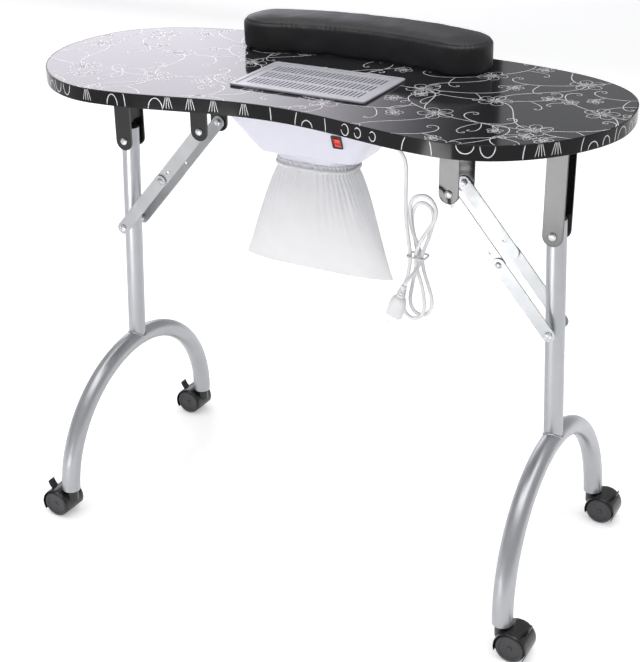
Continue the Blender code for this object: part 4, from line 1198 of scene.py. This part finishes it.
def make_side_brackets(side_name, side):
    hinge_z = HINGE_Z[side_name]
    make_bracket(f"{side_name}_hinge_bracket", side * HINGE_X, hinge_z, HINGE_CHEEK_OUTER)
    far = -HINGE_CHEEK_OUTER - GAP
    seat = HINGE_CHEEK_OUTER + GAP
    towards_front = Matrix.Rotation(math.pi / 2, 4, "X")
    towards_rear = Matrix.Rotation(-math.pi / 2, 4, "X")
    place = Matrix.Translation((side * HINGE_X, 0, hinge_z)) @ towards_front @ Matrix.Rotation(0.5, 4, "Z")
    make_bolt(
        f"{side_name}_hinge_bolt", "root", place, seat + 0.003, [(0.003, seat), (0.0050, far)], far - 0.0040
    )
    brace_x, brace_z = side * (HINGE_X - BRACE_X), hinge_z + BRACE_RISE
    make_bracket(f"{side_name}_brace_bracket", brace_x, brace_z, BRACE_CHEEK_OUTER)
    nut = UPPER_LINK_Y - LINK_THICKNESS / 2 - GAP
    seat = BRACE_CHEEK_OUTER + GAP
    for end_name, turn in (("front", towards_front), ("rear", towards_rear)):
        place = Matrix.Translation((brace_x, 0, brace_z)) @ turn @ Matrix.Rotation(0.9, 4, "Z")
        node = f"{side_name}_brace_bracket_bolt_{end_name}"
        make_bolt(node, "root", place, seat + 0.003, [(0.003, seat), (0.0050, nut)], nut - 0.0035)


# ---- Legs ----
POST_RADIUS, ARCH_RADIUS, TUBE_WALL = 0.014, 0.015, 0.0015
POST_ABOVE_HINGE = 0.020
FOOT_Y, CROWN_Z, TUBE_END_Z = 0.197, 0.243, 0.048


def make_links(side_name, side):
    """Each brace is two flat bars with round ends, riveted together at the knuckle."""
    hinge_z = HINGE_Z[side_name]
    bracket = Vector((side * (HINGE_X - BRACE_X), hinge_z + BRACE_RISE))
    post = Vector(
        (side * (HINGE_X + BRACE_DOWN_POST * math.sin(SPLAY)), hinge_z - BRACE_DOWN_POST * math.cos(SPLAY))
    )
    length = (post - bracket).length / 2
    down = math.atan2(post.y - bracket.y, post.x - bracket.x)
    round_end = [(LINK_HALF_WIDTH * math.cos(math.radians(a)), LINK_HALF_WIDTH * math.sin(math.radians(a))) for a in range(-90, 91, 10)]
    outline = [(length + x, y) for x, y in round_end] + [(-x, -y) for x, y in round_end]
    for end_name, y_side in ENDS:
        for kind, origin, angle, y in (
            ("upper", bracket, down, UPPER_LINK_Y),
            ("lower", post, down + math.pi, LOWER_LINK_Y),
        ):
            holes = [circle(0.0033, 20)] + (
                [circle(0.0023, 16, (length - 0.021, 0.0))] if kind == "upper" else []
            )
            parts = [plate([outline, *holes], LINK_THICKNESS, 0.0004, 2)]
            if kind == "lower":
                rivet = turned([(0, 0.0016), (0.0022, 0.0015), (0.0040, 0.0008), (0.0047, 0), (0, 0)], 24)
                flip = Matrix.Identity(4) if y_side < 0 else Matrix.Rotation(math.pi, 4, "X")
                parts.append((rivet, Matrix.Translation((length, 0, -y_side * LINK_THICKNESS / 2)) @ flip))
            matrix = Matrix.Translation(
                (origin.x, y_side * y, origin.y)
            ) @ Matrix.Rotation(-angle, 4, "Y") @ ALONG_Y
            node = f"{side_name}_{kind}_link_{end_name}"
            piece(
                f"{node}_bar",
                merged(*parts),
                LINK_STEEL,
                f"{side_name}_{kind}_links",
                matrix,
                [node],
                smooth=12,
            )


def swept_rings(path, radius, steps=32):
    """Rings of a tube along a path in the local YZ plane."""
    rings = []
    for i, point in enumerate(path):
        ahead = (path[min(i + 1, len(path) - 1)] - path[max(i - 1, 0)]).normalized()
        across = Vector((1, 0, 0))
        up = ahead.cross(across)
        turns = [2 * math.pi * k / steps for k in range(steps)]
        rings.append([point + radius * (math.cos(a) * across + math.sin(a) * up) for a in turns])
    return rings


def make_leg(side_name, side):
    hinge_z = HINGE_Z[side_name]
    leg = Matrix.Translation((side * HINGE_X, 0, hinge_z)) @ Matrix.Rotation(-side * SPLAY, 4, "Y")
    crown = -(hinge_z - CROWN_Z) / math.cos(SPLAY)
    foot = -(hinge_z - TUBE_END_Z) / math.cos(SPLAY)
    body = f"{side_name}_leg"
    tops = (POST_RADIUS, POST_RADIUS - TUBE_WALL)
    low, high = crown + ARCH_RADIUS * 0.4, POST_ABOVE_HINGE
    rings = [at_height(circle(tops[0], 36), z) for z in (low, high)]
    rings += [at_height(circle(tops[1], 36), z) for z in (high, low)]
    bead = []
    for i in range(49):
        a = 2 * math.pi * i / 48
        x, y = POST_RADIUS * math.cos(a), POST_RADIUS * math.sin(a)
        z = crown + math.sqrt(ARCH_RADIUS**2 - x * x) - y * y * (crown - foot) / (2 * FOOT_Y**2)
        bead.append((x * 1.03, y * 1.03, z))
    weld = sweep(bead[:-1], circle(0.0017, 10), closed=True)
    piece(
        f"{side_name}_post_tube",
        merged(loft(rings, closed=True), weld),
        SILVER_PAINT,
        body,
        leg,
        [f"{side_name}_post"],
    )

    inner = (POST_RADIUS - TUBE_WALL) * math.cos(math.pi / 12) - GAP
    dome = [
        (0, 0.0062),
        (0.0050, 0.0058),
        (0.0090, 0.0046),
        (0.0120, 0.0028),
        (POST_RADIUS, 0.0008),
        (POST_RADIUS, GAP),
    ]
    dome += [(inner, GAP), (inner, -0.009), (0, -0.009)]
    profile = [(r, POST_ABOVE_HINGE + z) for r, z in dome]
    piece(
        f"{side_name}_post_plug",
        turned(profile, 36),
        BLACK_PLASTIC,
        body,
        leg,
        [f"{side_name}_post_cap"],
    )

    rise = crown - foot
    turns = [math.pi * i / 72 for i in range(73)]
    middle = [Vector((0, -FOOT_Y * math.cos(t), foot + rise * math.sin(t))) for t in turns]
    arch = loft(
        swept_rings(middle, ARCH_RADIUS) + swept_rings(middle, ARCH_RADIUS - TUBE_WALL)[::-1], closed=True
    )
    piece(
        f"{side_name}_arch_tube",
        arch,
        SILVER_PAINT,
        body,
        leg,
        [f"{side_name}_arch"],
        smooth=50,
    )

    outer = LOWER_LINK_Y + LINK_THICKNESS / 2 + GAP
    sleeve_outer = LOWER_LINK_Y - LINK_THICKNESS / 2 - GAP
    sleeve_inner = POST_RADIUS + GAP
    sections = [(0.003, outer), (0.0050, sleeve_outer), (0.003, sleeve_inner), (0.0050, -sleeve_inner)]
    sections += [(0.003, -sleeve_outer), (0.0050, -outer)]
    place = leg @ Matrix.Translation((0, 0, -BRACE_DOWN_POST)) @ Matrix.Rotation(math.pi / 2, 4, "X")
    make_bolt(f"{side_name}_brace_post_bolt", body, place, outer + 0.003, sections, -outer - 0.0035)
    for end_name, y_side in ENDS:
        make_caster(f"{side_name}_{end_name}", side, leg @ Matrix.Translation((0, y_side * FOOT_Y, foot)))


# ---- Casters ----
WHEEL_RADIUS, WHEEL_TRAIL = 0.0225, 0.018
HOOD_RADIUS, HOOD_HALF_WIDTH = 0.025, 0.0225
WEB_HALF_WIDTH = 0.0036
POCKET_RADIUS = WHEEL_RADIUS + 0.0011
WHEEL_DROP = (TUBE_END_Z - WHEEL_RADIUS + WHEEL_TRAIL * math.sin(SPLAY)) / math.cos(SPLAY)
BRAKE_ANGLE = math.radians(48)


def hood_mesh():
    """A barrel-shaped fender over both wheels with a web between them. The wheels' axle is local Y."""
    half = [
        (0.0052, WEB_HALF_WIDTH), (POCKET_RADIUS, WEB_HALF_WIDTH), (POCKET_RADIUS, HOOD_HALF_WIDTH - 0.0006)
    ]
    half += [(POCKET_RADIUS + 0.0003, HOOD_HALF_WIDTH), (HOOD_RADIUS - 0.0008, HOOD_HALF_WIDTH - 0.0006)]
    half += [(HOOD_RADIUS - 0.0001, HOOD_HALF_WIDTH - 0.0026), (HOOD_RADIUS, HOOD_HALF_WIDTH - 0.0060)]
    section = [(r, -y) for r, y in half] + [(r, y) for r, y in reversed(half)]
    rings = []
    for i in range(47):
        a = math.radians(-36 + 234 * i / 46)
        rings.append([(r * math.cos(a), y, r * math.sin(a)) for r, y in section])
    return loft(rings)


def make_caster(name, side, tube_end):
    frame_of_caster = tube_end @ Matrix.Rotation(0 if side > 0 else math.pi, 4, "Z")
    axle_at = Matrix.Translation((WHEEL_TRAIL, 0, -WHEEL_DROP))
    neck = [
        (0, 0.0144),
        (0.0108, 0.0144),
        (0.0112, 0.0140),
        (0.0112, 0.0004),
        (0.0060, 0.0002),
        (0.0060, -0.0003),
    ]
    neck += [
        (0.0118, -0.0003),
        (0.0124, -0.0010),
        (0.0124, -0.0026),
        (0.0115, -0.0034),
        (0.0115, -0.0200),
        (0, -0.0200),
    ]
    body = merged((hood_mesh(), axle_at), turned(neck, 32))
    piece(
        f"{name}_caster_fork",
        body,
        CASTER_BLACK,
        f"{name}_caster",
        frame_of_caster,
        [f"{name}_caster_hood"],
    )

    half, inner = HOOD_HALF_WIDTH - 0.0008, WEB_HALF_WIDTH + 0.0008
    rim = [(0, half - 0.0008), (0.0030, half - 0.0008), (0.0036, half - 0.0014), (0.0042, half - 0.0022)]
    rim += [
        (0.0140, half - 0.0018),
        (0.0156, half - 0.0014),
        (0.0166, half - 0.0002),
        (0.0186, half),
        (0.0202, half - 0.0006),
    ]
    rim += [(0.0216, half - 0.0018), (WHEEL_RADIUS - 0.0002, half - 0.0034), (WHEEL_RADIUS, half - 0.0048)]
    rim += [(WHEEL_RADIUS, inner + 0.0020), (WHEEL_RADIUS - 0.0018, inner), (0.0025, inner)]
    discs = turned(rim + [(r, -z) for r, z in reversed(rim)], 44)
    seat = frame_of_caster @ axle_at @ ALONG_Y
    piece(
        f"{name}_wheel_discs",
        discs,
        WHEEL_GREY,
        f"{name}_wheels",
        seat,
        [f"{name}_caster_wheels"],
    )

    pivot = frame_of_caster @ axle_at @ Matrix.Rotation(-BRAKE_ANGLE, 4, "Y") @ Matrix.Translation(
        (HOOD_RADIUS - 0.0002, 0, 0)
    )
    barrel = [
        (0.0016 * math.cos(math.radians(a)), 0.0016 * math.sin(math.radians(a))) for a in range(60, 301, 20)
    ]
    tab = [
        *barrel, (0.0050, -0.0012), (0.0100, -0.0004), (0.0132, 0.0012), (0.0136, 0.0026), (0.0128, 0.0032)
    ]
    tab += [(0.0100, 0.0020), (0.0050, 0.0011)]
    lever = plate([tab], 0.0140, 0.0005, 2)
    grips = [(bar((0.0006, 0.0006, 0.0110)), Matrix.Translation((x, 0.0012 + (x - 0.006) * 0.18, 0))) for x in (0.0066, 0.0082, 0.0098)]
    piece(
        f"{name}_brake_pedal",
        merged(lever, *grips),
        CASTER_BLACK,
        f"{name}_brake",
        pivot @ ALONG_Y,
        [f"{name}_brake_lever"],
        smooth=12,
    )


def finish_fan_parts():
    keep_node("fan_impeller", BLACK_PLASTIC)
    keep_node("fan_motor", MOTOR_STEEL)
    keep_node("motor_mount", ZINC)
    keep_node("cushion_base_board", BOARD_WRAP)


make_camera()
make_top()
make_top_print()
make_rim_print()
make_grille()
make_housing()
make_collar()
make_switch()
make_cushion()
make_bag()
make_bag_elastic()
make_cord()
for side_name, side in SIDES:
    make_side_brackets(side_name, side)
    make_links(side_name, side)
    make_leg(side_name, side)
finish_fan_parts()
bpy.data.meshes.remove(HEAD)


# ---- Studio ----
def emitter(name, matrix, size, strength, color, fade=None):
    """A softbox that glows along its local +Z and that the camera doesn't see. fade is where along X it starts to dim."""
    made = bpy.data.materials.new(name)
    made.use_nodes = True
    tree = made.node_tree
    tree.nodes.remove(tree.nodes["Principled BSDF"])
    glow = tree.nodes.new("ShaderNodeEmission")
    glow.inputs["Color"].default_value = (*color, 1)
    glow.inputs["Strength"].default_value = strength
    if fade is not None:
        place = tree.nodes.new("ShaderNodeTexCoord")
        split = tree.nodes.new("ShaderNodeSeparateXYZ")
        dim = tree.nodes.new("ShaderNodeMapRange")
        dim.inputs["From Min"].default_value = fade
        dim.inputs["From Max"].default_value = size[0] / 2
        dim.inputs["To Min"].default_value = strength
        dim.inputs["To Max"].default_value = 0
        dim.interpolation_type = "SMOOTHSTEP"
        tree.links.new(place.outputs["Object"], split.inputs["Vector"])
        tree.links.new(split.outputs["X"], dim.inputs["Value"])
        tree.links.new(dim.outputs["Result"], glow.inputs["Strength"])
    tree.links.new(glow.outputs["Emission"], tree.nodes["Material Output"].inputs["Surface"])
    mesh = plate([rounded_rectangle(*size, 0.05)], 0.01)
    mesh.materials.append(made)
    card = bpy.data.objects.new(name, mesh)
    card.matrix_world = matrix
    scene.collection.objects.link(card)
    card.visible_camera = False
    return card


def make_studio():
    floor = bpy.data.objects.new("floor", plate([rounded_rectangle(40, 40, 1)], 0.01))
    paper = look("pale_floor", (0.92, 0.92, 0.92), 0.8, mottle=0.0)
    paper.node_tree.nodes["Principled BSDF"].inputs["Emission Color"].default_value = (1, 1, 1, 1)
    paper.node_tree.nodes["Principled BSDF"].inputs["Emission Strength"].default_value = 0.36
    floor.data.materials.append(paper)
    floor.location.z = -0.0052
    scene.collection.objects.link(floor)
    world = bpy.data.worlds.new("studio")
    world.use_nodes = True
    world.node_tree.nodes["Background"].inputs["Color"].default_value = (0.97, 0.98, 1.0, 1)
    world.node_tree.nodes["Background"].inputs["Strength"].default_value = 0.50
    scene.world = world
    down = Matrix.Rotation(math.pi, 4, "X")
    overhead = emitter(
        "overhead", Matrix.Translation((0.3, -0.4, 3.2)) @ down, (3.4, 3.0), 3.0, (1.0, 0.99, 0.98)
    )
    rear = emitter(
        "rear_card", Matrix.Translation((-2.6, 3.0, 1.8)) @ ALONG_Y, (3.4, 1.6), 3.1, (0.95, 0.92, 1.0), fade=0.3
    )
    up = Matrix.Translation((-0.4, -1.8, 0.03))
    front = emitter("front_card", up, (0.8, 1.0), 11.0, (1, 1, 1))


make_studio()
